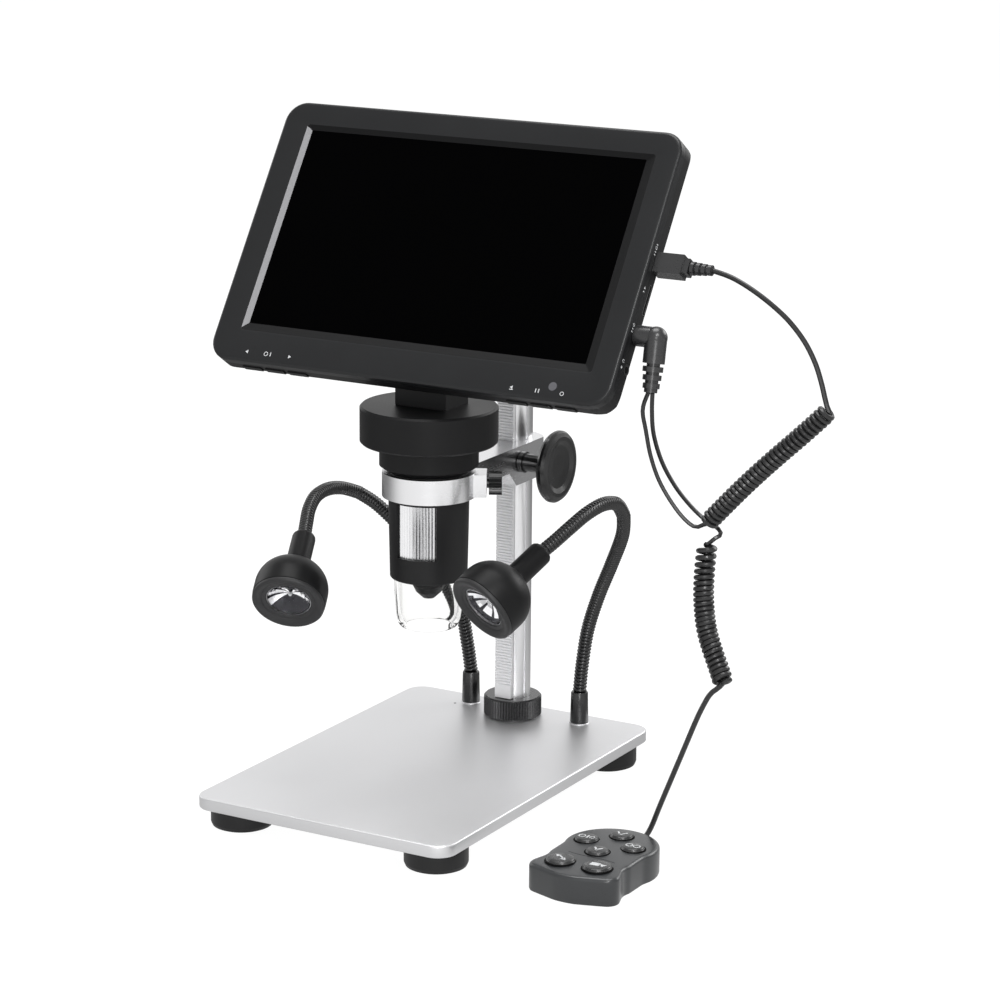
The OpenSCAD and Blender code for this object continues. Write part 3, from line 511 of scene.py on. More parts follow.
jack_route = [
    JACK_END - JACK_SIDE, (79.6, -2.4, 173), (80.4, -1, 164.8), (82.2, 0, 154.6),
    (85.6, 1.2, 144.7), (91, 2.6, 135.8), (96, 3.8, 130), (100, 5, 127.6), (104, 6, 129.8),
]
coil_line = smooth_line(power_coil_route, 6)
coil_turns = line_length(coil_line) / COIL_PITCH
down_lead = even_line(smooth_line(jack_route, 5), CORD_STEP)
coil_points = helix(coil_line, COIL_R, coil_turns)
up_lead = even_line(list(reversed(smooth_line(usb_route, 5))), CORD_STEP)
power_line = down_lead[:-1] + coil_points[1:-1] + up_lead[1:]
power_radii = [LEAD_R] * (len(down_lead) - 1)
power_radii += [CORD_R] * (len(power_line) - len(power_radii))
power_cord = add_piece(
    "power_cord", sweep(power_line, power_radii), "cord_black",
    nodes=("usb_lead", "power_coil", "jack_lead"),
)
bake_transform(power_cord)
line_length(power_line) * MM
[p * MM for p in power_line]
print("power cord, mm:", round(line_length(power_line)), "turns:", round(coil_turns))

# %% [markdown]
# The remote's cord is thinner where it leaves the jack, makes one small loop at the top of its own
# coil, hangs down through loose turns that close up towards the bottom, and then runs straight to
# the remote on the table. It is made as three lengths: its top, its coil and its lower end.

# %% Remote cord
REMOTE_COIL_R = 3.1
REMOTE_TURNS = 26
CROWDING = 0.45
remote_lead_route = [
    JACK_END + JACK_SIDE, (82.2, 0.4, 172), (82, 2.6, 162.6), (84.6, 4.6, 152),
    (89.2, 6.7, 142.7), (94.4, 9, 135.4), (100, 10.6, 130), (106, 11, 126.8), (108.6, 9, 125),
    (107.6, 6.4, 124), (104.9, 5, 121.4),
]
remote_coil_route = [
    (104.9, 5, 121.8), (105, 2.8, 111.7), (105.9, 0.7, 101.1), (108.3, -1.5, 90.8),
    (111.9, -3.7, 83.4), (116.2, -5.8, 76.2), (119.5, -8, 71.2),
]
remote_route = [
    (119.3, -7.9, 71.6), (117.6, -8.4, 69.4), (114.4, -9.2, 66.4), (112, -11, 61),
    (110.2, -13, 55.4), (107, -15.6, 45), (102.6, -17.8, 32), (98.8, -19.4, 21), (96, -20, 13),
    (94.4, -21.6, 9), (94, -25.6, 8),
]


def hang(name, line, radii, node):
    """A stretch of cord, made as one piece."""
    piece = add_piece(name, sweep(line, radii), "cord_black", nodes=(node,))
    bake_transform(piece)
    line[0] * MM
    line_length(line) * MM
    [p * MM for p in line]
    print(name, "mm:", round(line_length(line)))


line = even_line(smooth_line(remote_lead_route, 5), CORD_STEP)
hang(
    "remote_cord_top", line, [LEAD_R] * len(line), "remote_lead",
)
line = helix(smooth_line(remote_coil_route, 6), REMOTE_COIL_R, REMOTE_TURNS, crowd=CROWDING)
hang(
    "remote_cord_coil", line, [CORD_R] * len(line), "remote_coil",
)
line = even_line(smooth_line(remote_route, 5), CORD_STEP)
hang(
    "remote_cord_foot", line, [CORD_R] * len(line), "remote_cord",
)

# %% [markdown]
# The lamps stand on goosenecks: a spring-steel core in a black ribbed sleeve, which stays where it
# is bent. The ribs are rings a millimetre and a half apart, so the tube's radius goes up and down
# along its length. Each arm is two lengths that meet where the arm's two bends meet.

# %% Ribbed arms
RIB_PITCH = 1.5
RIB_R = 2.98
RIB_VALLEY = 2.5
RIB_ROUNDING = 0.7                   # under 1, the ribs are full and the valleys narrow
RINGS_PER_RIB = 4
right_route = [
    (30.4, 75.2, 28), (30.9, 76.4, 40), (32.7, 77.6, 55), (38.8, 75, 71), (48.6, 68, 88.3),
    (58.5, 58, 104.2), (63.6, 49, 115.2), (65.6, 39, 122.3), (65.6, 28, 124.8),
    (64.2, 17, 123.4), (61.4, 8, 119.2), (58.5, 1, 114.9), (55.5, -5.4, 111),
]
left_route = [
    (-23.6, 76.6, 28), (-26, 77.4, 40), (-29.8, 78, 54), (-37.6, 75, 68), (-48.2, 68, 85),
    (-58.2, 58, 100.5), (-63.4, 49, 108.2), (-65.2, 39, 112), (-65.2, 28, 113.9),
    (-64, 17, 113.4), (-61.6, 8, 110.2), (-58.4, 0.8, 106), (-55.1, -6, 102),
]
SPLIT = 6                            # the point where the two lengths meet


def ribbed(route):
    line = even_line(smooth_line(route, 12), RIB_PITCH / RINGS_PER_RIB)
    line = [STAND @ p for p in line]
    wave = [
        abs(math.sin(math.pi * i / RINGS_PER_RIB)) ** RIB_ROUNDING for i in range(len(line))
    ]
    return sweep(line, [RIB_VALLEY + (RIB_R - RIB_VALLEY) * w for w in wave], 16)


for side, sign, route, root, crest in (
    ("right", 1, right_route, 32, 0.124), ("left", -1, left_route, -27, 0.1138)
):
    lower = add_piece(
        f"arm_sleeve_lower_{side}", ribbed(route[:SPLIT + 1]), "sleeve_black",
        nodes=(f"gooseneck_lower_{side}",),
    )
    root = (STAND_X + root) * MM
    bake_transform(lower)
    upper = add_piece(
        f"arm_sleeve_upper_{side}", ribbed(route[SPLIT:]), "sleeve_black",
        nodes=(f"gooseneck_upper_{side}",),
    )
    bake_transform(upper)

# %% [markdown]
# Lamp heads, keys and sleeves are turned shapes: one outline spun round an axis. A spin makes the
# whole ring of faces at once. Each outline has its own small roundings, which catch the light as
# the edge of a moulded part does.


# %% Turned shapes
def turned(outline, steps=64, loop=True):
    """Spins (radius, height) pairs about Z. A loop is joined end to end."""
    shape = bmesh.new()
    rim = [shape.verts.new((radius, 0, height)) for radius, height in outline]
    edges = [shape.edges.new(pair) for pair in zip(rim, rim[1:])]
    if loop:
        edges.append(shape.edges.new((rim[-1], rim[0])))
    bmesh.ops.spin(
        shape, geom=rim + edges, cent=(0, 0, 0), axis=(0, 0, 1), angle=2 * math.pi,
        steps=steps, use_merge=True,
    )
    bmesh.ops.remove_doubles(shape, verts=shape.verts, dist=1e-4)
    return shape


def arc(centre, radius, start, end, count):
    """Outline points along a part of a circle, angles in degrees."""
    return [
        (centre[0] + radius * math.cos(a), centre[1] + radius * math.sin(a))
        for a in (math.radians(start + (end - start) * i / count) for i in range(count + 1))
    ]


print("lathe ready")

# %% [markdown]
# Printed marks are a few hundredths of a millimetre of paint. Flat shapes, drawn out by that much,
# stand for them: triangles, rings and bars, and nothing that reads as a word.

# %% Flat marks
RING_SIDES = 28
RING_WIDTH = 0.28                    # as a share of the ring's radius


def flat_marks(shapes, thick=0.06):
    """One bmesh of flat prisms. A shape is (kind, x, y, size, turn in degrees)."""
    made = bmesh.new()
    for kind, x, y, size, turn in shapes:
        spot = Matrix.Translation((x, y, 0)) @ Matrix.Rotation(math.radians(turn), 4, "Z")
        if kind == "bar":
            got = bmesh.ops.create_grid(
                made, x_segments=1, y_segments=1, size=0.5,
                matrix=spot @ Matrix.Diagonal((size[0], size[1], 1, 1)),
            )
        else:
            sides = 3 if kind == "triangle" else RING_SIDES
            got = bmesh.ops.create_circle(
                made, cap_ends=True, segments=sides, radius=size, matrix=spot
            )
        faces = list({f for v in got["verts"] for f in v.link_faces})
        if kind == "ring":
            inner = bmesh.ops.inset_individual(made, faces=faces, thickness=RING_WIDTH * size)
            bmesh.ops.delete(made, geom=faces, context="FACES")
            faces = inner["faces"]
        grown = bmesh.ops.extrude_face_region(made, geom=faces)["geom"]
        raised = [item for item in grown if isinstance(item, bmesh.types.BMVert)]
        bmesh.ops.translate(made, vec=(0, 0, thick), verts=raised)
    return made


print("marks can be cut")

# %% [markdown]
# A moulded case has softly rounded rims all the way round. Such a case is a stack of closed loops:
# the same outline again and again, each a little higher and a little further in. Faces between
# one loop and the next make the skin. Rounding follows a quarter circle, a few steps at a time.
# Several shapes that make one piece are gathered in one mesh.


# %% Skins over a stack of loops
def skin(loops, bottom=False, top=False):
    """Bridges loops with the same number of points. The ends can be closed."""
    made = bmesh.new()
    rings = []
    for loop in loops:
        points = [made.verts.new(point) for point in loop]
        rings.append([
            made.edges.new((points[i - 1], points[i])) for i in range(len(points))
        ])
    for low, high in zip(rings, rings[1:]):
        bmesh.ops.bridge_loops(made, edges=low + high)
    for ring, closed in ((rings[0], bottom), (rings[-1], top)):
        if closed:
            bmesh.ops.contextual_create(made, geom=ring)
    return made


def rounded_loop(width, depth, radius, inset, height, middle=(0, 0), steps=8):
    """A rectangle with round corners, drawn inwards by inset."""
    radius = max(radius - inset, 0.2)
    x, y = width / 2 - inset - radius, depth / 2 - inset - radius
    loop = []
    for start, sx, sy in ((0, 1, 1), (90, -1, 1), (180, -1, -1), (270, 1, -1)):
        for px, py in arc((sx * x, sy * y), radius, start, start + 90, steps):
            loop.append((px + middle[0], py + middle[1], height))
    return loop


def rim_steps(radius, count=6):
    """How far in and how far down a rounded rim is, from its side to its top."""
    return [
        (radius * (1 - math.cos(a)), radius * (1 - math.sin(a)))
        for a in (math.pi / 2 * i / count for i in range(count + 1))
    ]


def gather(target, part, place=None):
    """Moves a shape into a bigger one."""
    if place:
        bmesh.ops.transform(part, matrix=place, verts=part.verts)
    mesh = bpy.data.meshes.new("part")
    part.to_mesh(mesh)
    part.free()
    target.from_mesh(mesh)
    bpy.data.meshes.remove(mesh)


print("skins can be stacked")

# %% [markdown]
# The screen's frame comes up over a rounded rim and runs flat to the window. There a narrow slope,
# painted darker than the frame as shade, leads down to the picture. A thin grey strip on the left
# of the slope is a painted highlight: it stands for the light that the edge of the glass catches.

# %% Frame of the screen
BEZEL = (183.2, 116, 9)              # width, height and radius of the corners
BEZEL_MIDDLE = (0.6, 0)
BEZEL_DEPTH = 4.2
WINDOW = (161.1, 92.8, 1.5)
WINDOW_MIDDLE = (1.45, 1.6)
PICTURE = (154.5, 87, 0.5)
PICTURE_MIDDLE = (0.55, 2.4)
PICTURE_DEPTH = 1.38
bezel_loops = [
    rounded_loop(*BEZEL, inset, -drop, BEZEL_MIDDLE)
    for inset, drop in [(0, BEZEL_DEPTH)] + rim_steps(1.5) + [(2.1, 0.0)]
]
bezel_loops += [
    rounded_loop(*WINDOW, -0.5, 0.0, WINDOW_MIDDLE),
    rounded_loop(*WINDOW, 0.1, -0.12, WINDOW_MIDDLE),
]
slope_loops = [
    bezel_loops[-1], rounded_loop(*PICTURE, 0, -PICTURE_DEPTH, PICTURE_MIDDLE)
]
add_piece(
    "screen_frame", skin(bezel_loops), "screen_black", "screen", ("screen_bezel",), place=SCREEN
)
# the slope's darker finish is painted shade
add_piece("window_slope", skin(slope_loops), "frame_shade", "screen", place=SCREEN)
# a painted highlight: a grey strip for the light on the glass's left edge
painted_glint_strip = bmesh.new()
corners = [painted_glint_strip.verts.new(corner) for corner in (
    (-78.95, -44.1, -0.1), (-76.75, -41.1, -1.3), (-76.75, 45.7, -1.3), (-78.95, 47.2, -0.1),
)]
bmesh.ops.contextual_create(painted_glint_strip, geom=corners)
add_piece("painted_glint_strip", painted_glint_strip, "edge_grey", "screen", place=SCREEN)
print("screen frame loops:", len(bezel_loops))

# %% [markdown]
# The plate is one flat block with finely rounded edges above and below, closed at both ends of
# the stack. The pinhole near its back edge is a small dark disc of painted shade that lies on the
# top.

# %% Base plate
PLATE = (117, 172, 8)                # width, depth and radius of the corners
PLATE_MIDDLE = (1.5, 0)
PLATE_BOTTOM, PLATE_TOP = 9, 14
HOLE_R = 0.55
HOLE_PLACE = (-28.4, 71.1, PLATE_TOP + 0.01)
plate_loops = [
    rounded_loop(*PLATE, inset, PLATE_BOTTOM + drop, PLATE_MIDDLE)
    for inset, drop in reversed(rim_steps(0.6, 3))
]
plate_loops += [
    rounded_loop(*PLATE, inset, PLATE_TOP - drop, PLATE_MIDDLE)
    for inset, drop in rim_steps(0.8, 5)
]
add_piece(
    "plate_skin", skin(plate_loops, bottom=True, top=True), "silver_anodised", "stand",
    ("base_plate",), place=STAND,
)
# painted shade: a flat dark disc stands for the pinhole
hole = turned([(0, 0), (HOLE_R, 0)], 24, loop=False)
add_piece(
    "plate_hole", hole, "shadow_black", "stand", place=STAND @ Matrix.Translation(HOLE_PLACE)
)
print("plate loops:", len(plate_loops))

# %% [markdown]
# The nozzle is a clear cup round the lens, open below, with a rounded lip at its mouth. Two thin
# ribs run down the inside of its wall, opposite each other.

# %% Clear nozzle
TUBE_Y = 1.5
RIB_SIZE = (0.9, 0.5, 0.2)
RIB_FROM, RIB_TO = 72.8, 92
RIB_PLACE = Matrix.Translation((11.2, 0, 0))
TUBE = STAND @ Matrix.Translation((0, TUBE_Y, 0))
nozzle = [
    (12.6, 93), (14.1, 93), (13.95, 86), (13.3, 77.5), (12.9, 74.6), (12.3, 72.6), (11.4, 71.5),
    (10.4, 71.05), (9.6, 71.0), (9.2, 71.6), (9.8, 73.2), (10.9, 74.6), (11.6, 78), (12.2, 84),
]
add_piece(
    "nozzle_cup", turned(nozzle, 64), "clear_plastic", "microscope", ("clear_nozzle",),
    place=TUBE,
)
for number, degrees in enumerate((38, 218), 1):
    turn = Matrix.Rotation(math.radians(degrees), 4, "Z")
    rib_loops = [rounded_loop(*RIB_SIZE, 0, height) for height in (RIB_FROM, RIB_TO)]
    add_piece(
        f"nozzle_rib_{number}", skin(rib_loops, bottom=True, top=True), "clear_edge",
        "microscope", place=TUBE @ turn @ RIB_PLACE,
    )
print("points in the nozzle's outline:", len(nozzle))

# %% [markdown]
# The remote's outline is not a rectangle, so it is read off the solid case: the sharp edges that
# lie on the table form one closed loop. Walked in order and evened out, the loop is pushed in
# along its own normals to make the rounded rim, then shrunk to the middle to make the roof.

# %% Outline of the remote
RIM_STEP = 0.9
SHARP_FOLD = math.radians(60)
case = bmesh.new()
case.from_mesh(frame["nodes"]["remote_lower_case"].data)
case.transform(frame["nodes"]["remote_lower_case"].matrix_world)
bmesh.ops.remove_doubles(case, verts=case.verts, dist=1e-6)
border = [
    e for e in case.edges
    if all(abs(v.co.z) < 1e-5 for v in e.verts) and e.calc_face_angle(0) > SHARP_FOLD
]
after = {}
for edge in border:
    for a, b in (edge.verts, reversed(edge.verts)):
        after.setdefault(a.index, []).append((b.index, b.co.copy()))
case.verts.ensure_lookup_table()
start = max(after, key=lambda i: case.verts[i].co.x)
walk, previous, here = [case.verts[start].co / MM], None, start
while True:
    ahead = [(i, co) for i, co in after[here] if i != previous]
    previous, (here, co) = here, ahead[0]
    walk.append(co / MM)
    if here == start:
        break
case.free()
rim = even_line(walk, RIM_STEP)[:-1]
rim = [(rim[i - 1] + 2 * rim[i] + rim[(i + 1) % len(rim)]) / 4 for i in range(len(rim))]
area = sum(a.x * b.y - b.x * a.y for a, b in zip(rim, rim[1:] + rim[:1]))
turn_sign = 1 if area > 0 else -1
inward = []
for i, point in enumerate(rim):
    along = (rim[(i + 1) % len(rim)] - rim[i - 1]).normalized()
    inward.append(turn_sign * Vector((-along.y, along.x, 0)))
print("points round the remote:", len(rim))

# %% [markdown]
# The case is a stack of loops that step in over a rounded edge and run up to a slightly domed roof.
# One boolean then cuts a round pocket for each key, wide enough for the key to slide in freely. A
# fine groove crosses the roof between the round group of four keys and the two lower ones: a thin
# dark tube half sunk in the roof, whose dark colour is painted shade.

# %% Case of the remote
REMOTE_TOP = 11.8
ROOF_RADIUS = 600
ROOF_X, ROOF_Y = 90, -50             # where the roof is highest
MIDDLE = Vector((90, -56, 0))        # where the loops of the roof close
KEY_GAP = 0.25
POCKET_FLOOR = 7.4
CUTTER_HEIGHT = 10
GROOVE_R = 0.22
GROOVE_DEPTH = 0.13
remote_keys = [
    (0, 11.2, 4.6), (-10, 1.4, 4.6), (10, 1.4, 4.6), (0, -8.6, 4.6), (-7.8, -23.4, 5.7),
    (7.8, -23.4, 5.7),
]


def roof(point):
    """Height of the slightly domed roof over a point."""
    away = (point.x - ROOF_X) ** 2 + (point.y - ROOF_Y) ** 2
    return REMOTE_TOP - ROOF_RADIUS + math.sqrt(ROOF_RADIUS ** 2 - away)


def pocketed(blank, pockets, floor):
    """A closed mesh with round pockets, each given as x, y and radius, cut down to a floor."""
    cutter = bmesh.new()
    for x, y, radius in pockets:
        bmesh.ops.create_cone(
            cutter, cap_ends=True, segments=48, radius1=radius, radius2=radius,
            depth=CUTTER_HEIGHT, matrix=Matrix.Translation((x, y, floor + CUTTER_HEIGHT / 2)),
        )
    things = []
    for made in (blank, cutter):
        bmesh.ops.recalc_face_normals(made, faces=made.faces)
        mesh = bpy.data.meshes.new("pocket_part")
        made.to_mesh(mesh)
        made.free()
        things.append(bpy.data.objects.new("pocket_part", mesh))
        bpy.context.scene.collection.objects.link(things[-1])
    cut = things[0].modifiers.new("Pockets", "BOOLEAN")
    cut.operation, cut.solver, cut.object = "DIFFERENCE", "EXACT", things[1]
    solved = things[0].evaluated_get(bpy.context.evaluated_depsgraph_get())
    result = bmesh.new()
    result.from_mesh(bpy.data.meshes.new_from_object(solved))
    for thing in things:
        bpy.data.objects.remove(thing)
    return result


def remote_loop(inset, height):
    """The remote's outline, drawn inwards by inset."""
    return [p + inset * n + Vector((0, 0, height)) for p, n in zip(rim, inward)]


remote_loops = [remote_loop(0.9, 0), remote_loop(0.25, 0.3), remote_loop(0, 1.0)]
for inset, drop in rim_steps(1.5):
    loop = remote_loop(inset, 0)
    remote_loops.append([Vector((p.x, p.y, roof(p) - drop)) for p in loop])
edge_loop = remote_loops[-1]
for share in (0.92, 0.8, 0.6, 0.4, 0.2, 0.05):
    loop = [MIDDLE.lerp(Vector((p.x, p.y, 0)), share) for p in edge_loop]
    remote_loops.append([Vector((p.x, p.y, roof(p))) for p in loop])
case_blank = skin(remote_loops, bottom=True, top=True)
pockets = [(REMOTE_X + x, REMOTE_Y + y, radius + KEY_GAP) for x, y, radius in remote_keys]
case_skin = pocketed(case_blank, pockets, POCKET_FLOOR)
print("faces of the case:", len(case_skin.faces))
add_piece(
    "remote_case", case_skin, "remote_grey", "stand", ("remote_lower_case", "remote_upper_case")
)
groove_route = [(REMOTE_X + x, y, 0) for x, y in (
    (-9.9, -58.3), (-7.5, -58.9), (-4, -59.4), (0, -59.5), (4, -59.4), (7.9, -59.8), (11, -60.3)
)]
groove = [
    Vector((p.x, p.y, roof(p) - GROOVE_DEPTH))
    for p in even_line(smooth_line(groove_route, 6), 0.6)
]
# the groove's dark colour is painted shade
add_piece("remote_groove", sweep(groove, [GROOVE_R] * len(groove), 8), "engraving", "stand")
print("remote case loops:", len(remote_loops))

# %% [markdown]
# Six rubber keys stand about a millimetre out of the roof, each in a narrow gap, with a flat dark
# ring of painted shade round it. Every key moves on its own, so each is a wall painted darker as
# shade and a cap, with its own plain sign of rings, bars and triangles. The painted shade rings
# stay with the case and are one piece.

# %% Keys of the remote
KEY_FOOT = 8.7
KEY_SHOULDER = 12.1
KEY_TOP = 13.02
SIGN_HEIGHT = 12.95
SIGN_SCALE = 1.25
key_signs = [
    [("bar", -0.9, 0, (0.5, 2.4), 35), ("bar", 1.0, 0.2, (0.5, 2.0), -35),
     ("bar", 0, -0.9, (1.4, 0.5), 0)],
    [("ring", -1.5, 0, 1.2, 0), ("bar", 0.4, 0, (0.5, 2.2), 0), ("ring", 1.9, 0, 0.9, 0)],
    [("ring", -1.2, 0, 1.2, 0), ("ring", 1.3, 0, 1.2, 0)],
    [("bar", -0.5, 0, (0.6, 2.6), 40), ("bar", 0.5, 0, (0.6, 2.6), -40)],
    [("triangle", -1.3, 0.9, 1.1, 60), ("bar", 0.3, 0.1, (0.5, 3.0), 50),
     ("triangle", 1.5, -1.0, 1.1, 0)],
    [("bar", -0.7, 0, (3.0, 2.2), 0), ("triangle", 1.9, 0, 1.2, 180)],
]
# flat dark rings round the keys: painted shade of the gaps
gap_shade = bmesh.new()
for number, ((x, y, radius), signs) in enumerate(zip(remote_keys, key_signs), 1):
    body = f"remote_key_{number}_cap"
    spot = REMOTE @ Matrix.Translation((x, y, 0))
    wall = [
        (0.3, KEY_FOOT), (radius, KEY_FOOT), (radius, KEY_SHOULDER - 0.1),
        (radius - 0.15, KEY_SHOULDER), (0.3, KEY_SHOULDER),
    ]
    # the wall's darker finish is painted shade
    add_piece(
        f"key_wall_{number}", turned(wall, 48), "key_wall", body, (f"remote_key_{number}",),
        place=spot,
    )
    cap = [(radius - 0.15, KEY_SHOULDER)]
    cap += arc((radius - 1.1, KEY_SHOULDER + 0.02), 0.8, 10, 75, 5)
    cap += [(radius * 0.5, KEY_TOP - 0.04), (0.3, KEY_TOP)]
    add_piece(f"key_cap_{number}", turned(cap, 48, loop=False), "key_rubber", body, place=spot)
    add_piece(
        f"key_sign_{number}", flat_marks(signs, 0.12), "mark_white", body, smooth=False,
        place=spot @ Matrix.Translation((0, 0, SIGN_HEIGHT)) @ Matrix.Scale(SIGN_SCALE, 4),
    )
    middle = (REMOTE_X + x, REMOTE_Y + y)
    level = roof(Vector((*middle, 0))) + 0.03
    gather(gap_shade, skin([
        rounded_loop(2 * r, 2 * r, r, 0, level, middle) for r in (radius + 0.08, radius + 0.55)
    ]))
add_piece("remote_key_gap_shade", gap_shade, "shadow_black", "stand")
print("remote keys:", len(remote_keys))

# %% [markdown]
# A lamp head is a black moulded bell with a wide, slightly dished front ring. A fine seam runs
# round it where the ring was pressed in. The ring is a lighter black than the bell: a painted
# reflection of the bright plate below. Inside sits a chrome bowl cut into facets, with one small
# LED in its middle and a clear window over it. Some facets are chrome and the rest a dark metal
# that is a painted reflection; a rule says which: it is laid out for the view from the camera, and
# does not change with the light.

# %% Lamp heads
LAMP_R = 15.05
LAMP_LENGTH = 36
LAMP_TURN = math.radians(20)         # how far each lamp looks in towards the tube
BOWL_DEPTH = 6.2
BOWL_STEPS = 30
BOWL = [
    (9.1, -2.9), (8.6, -3.4), (7.4, -4.3), (6.0, -5.1), (4.4, -5.7), (2.8, -6.1),
    (0.2, -BOWL_DEPTH),
]


def lamp_place(neck, droop, side):
    """The frame of a lamp head: its front face at z = 0, looking along +z."""
    droop = math.radians(droop)
    axis = Vector((
        -side * math.sin(LAMP_TURN) * math.cos(droop), -math.cos(LAMP_TURN) * math.cos(droop),
        -math.sin(droop),
    ))
    tilt = Matrix.Rotation(math.radians(-90) - side * LAMP_TURN, 4, "Z")
    tilt = tilt @ Matrix.Rotation(math.radians(90) + droop, 4, "Y")
    return STAND @ Matrix.Translation(Vector(neck) + LAMP_LENGTH * axis) @ tilt


def ring_outline():
    return [
        (9.15, -3.4), (9.15, -2.0), (9.4, -1.7), (10.9, -1.45), (11.2, -1.1), (13.3, -0.25),
        (13.9, -0.2), (14.4, -0.35), (14.75, -0.8), (14.85, -1.4), (14.85, -1.8), (14.7, -1.95),
        (14.7, -2.1), (12.6, -3.4),
    ]


def bell_outline():
    front = [(12.6, -2.1), (14.7, -2.1), (14.95, -2.3), (LAMP_R, -3.4)]
    dome = [
        (LAMP_R * math.cos(a) + 0.2 * math.sin(a), -8 - 13.5 * math.sin(a))
        for a in (math.radians(5 * i) for i in range(15))
    ]
    neck = [
        (5.15, -21.0), (4.9, -22.4), (4.85, -35.2), (4.7, -36.0), (4.2, -36.7), (3.4, -37.1),
        (0.5, -37.1), (0.5, -21), (8.6, -12.5), (12.6, -8),
    ]
    return front + dome + neck


def chrome_facet_in_painted_pattern(side, middle):
    """Whether a facet is chrome or a painted dark reflection, by where it lies in the bowl."""
    angle = math.degrees(math.atan2(middle.y, -middle.x))
    depth = -middle.z / BOWL_DEPTH
    streak = math.sin(math.radians(angle * 9)) > -0.55
    if side == "left":
        return streak and (-125 < angle < -28 or 38 < angle < 112)
    return streak and (depth > 0.72 or -70 < angle < 60)


def bowl_facets(side, bright):
    """The chrome or the painted dark facets of a bowl turned in few steps."""
    made = turned(BOWL, BOWL_STEPS, loop=False)
    wrong = [f for f in made.faces if chrome_facet_in_painted_pattern(side, f.calc_center_median()) != bright]
    bmesh.ops.delete(made, geom=wrong, context="FACES")
    return made


places = {
    "right": lamp_place(right_route[-1], 30, 1),
    "left": lamp_place(left_route[-1], 34, -1),
}
LAMP_RIM = [(8.95, -2.95), (8.95, -2.15), (9.14, -2.15), (9.14, -2.95)]
LED = [(0, -6.1), (0.8, -6.1)] + arc((0, -5.5), 0.8, 0, 90, 6)
LAMP_WINDOW = [(0, -2.7), (8.85, -2.7), (8.85, -2.1), (5, -1.8), (0, -1.6)]
for side, place in places.items():
    # the ring's lighter black and the dark bowl facets are painted reflections
    for part, shape, finish, nodes in (
        ("bell", turned(bell_outline(), 72), "head_black", (f"lamp_head_{side}",)),
        ("ring", turned(ring_outline(), 72), "ring_black", ()),
        ("bowl", bowl_facets(side, True), "lamp_chrome", (f"lamp_optics_{side}",)),
        ("shade", bowl_facets(side, False), "facet_dark", ()),
        ("rim", turned(LAMP_RIM, 64), "steel", ()),
        ("led", turned(LED, 24, loop=False), "mark_white", ()),
        ("window", turned(LAMP_WINDOW, 48, loop=False), "lamp_clear", ()),
    ):
        add_piece(
            f"lamp_{part}_{side}", shape, finish, f"lamp_{side}", nodes,
            smooth=part not in ("bowl", "shade"), place=place,
        )
print("lamp heads:", [tuple(round(c) for c in m.translation) for m in places.values()])

# %% [markdown]
# Each arm rises from a black sleeve that stands in a bright ring on the plate. They are two
# pieces, because the ring is bare metal.

# %% Sleeves and rings at the foot of the arms
SLEEVE = [
    (0.5, 9.5), (2.9, 9.5), (2.9, 15), (3.7, 14.5), (3.9, 14.8), (3.6, 27.4), (3.3, 27.9),
    (2.4, 28), (0.5, 28),
]
FOOT_RING = [(3.0, 14.01), (4.25, 14.01), (4.25, 14.3), (4.1, 14.45), (3.0, 14.45)]
sleeves = bmesh.new()
rings = bmesh.new()
for foot in (left_route[0], right_route[0]):
    spot = Matrix.Translation((*foot[:2], 0))
    gather(sleeves, turned(SLEEVE, 40), spot)
    gather(rings, turned(FOOT_RING, 40), spot)
print("faces of the sleeves and of the rings:", len(sleeves.faces), len(rings.faces))
add_piece("arm_feet", sleeves, "black_gloss", "stand", ("lamp_ferrules",), place=STAND)
add_piece("arm_foot_rings", rings, "silver_anodised", "stand", place=STAND)

# %% [markdown]
# Small white marks are printed along the lower edge of the screen's frame and down its right side,
# next to the keys and sockets. A small round window lies in the lower right of the frame.

# %% Marks on the screen
SIDE_ROW = 2.8                       # how far the marks on the side lie behind the front
DASH = (1.1, 0.4)
marks = flat_marks([
    ("triangle", -72.4, -53.9, 0.85, 90), ("ring", -63.4, -53.9, 0.95, 0),
    ("bar", -61.2, -53.9, (0.35, 1.7), 0), ("triangle", -52.2, -53.9, 0.85, -90),
    ("triangle", 50.2, -54.6, 0.8, 90), ("bar", 50.2, -55.5, (1.5, 0.3), 0),
    ("bar", 60.8, -54.7, (0.35, 1.6), 0), ("bar", 62.1, -54.7, (0.35, 1.6), 0),
    ("ring", 72.2, -54.7, 0.85, 0),
])
add_piece("bezel_marks", marks, "mark_white", "screen", smooth=False, place=SCREEN)
side_face = SCREEN @ Matrix.Translation((SCREEN_SIDE, 0, 0))
side_face = side_face @ Matrix.Rotation(math.radians(90), 4, "Y")
side_marks = flat_marks([(kind, SIDE_ROW, y, size, turn) for kind, y, size, turn in (
    ("bar", 7.2, DASH, 0), ("bar", 8.4, DASH, 0), ("ring", 10.0, 0.7, 0), ("bar", 11.4, DASH, 0),
    ("bar", -8.4, DASH, 0), ("triangle", -6.9, 0.7, 0), ("ring", -22.4, 0.7, 0),
    ("bar", -24.0, DASH, 0), ("bar", -25.2, DASH, 0), ("ring", -37.4, 0.7, 0),
    ("bar", -40.0, (0.9, 0.9), 45),
)])
add_piece("side_marks", side_marks, "mark_white", "screen", smooth=False, place=side_face)
add_piece(
    "sensor_window", turned([(0, 0), (1.75, 0), (1.75, 0.08), (0, 0.08)], 32, loop=False),
    "sensor_grey", "screen", place=SCREEN @ Matrix.Translation((67.5, -52.2, 0)),
)
print("marks on the screen printed")

# %% [markdown]
# A round socket and a slot for a memory card stay empty. Each is a dark flat shape of painted
# shade on the screen's side, with a thin lip round it.

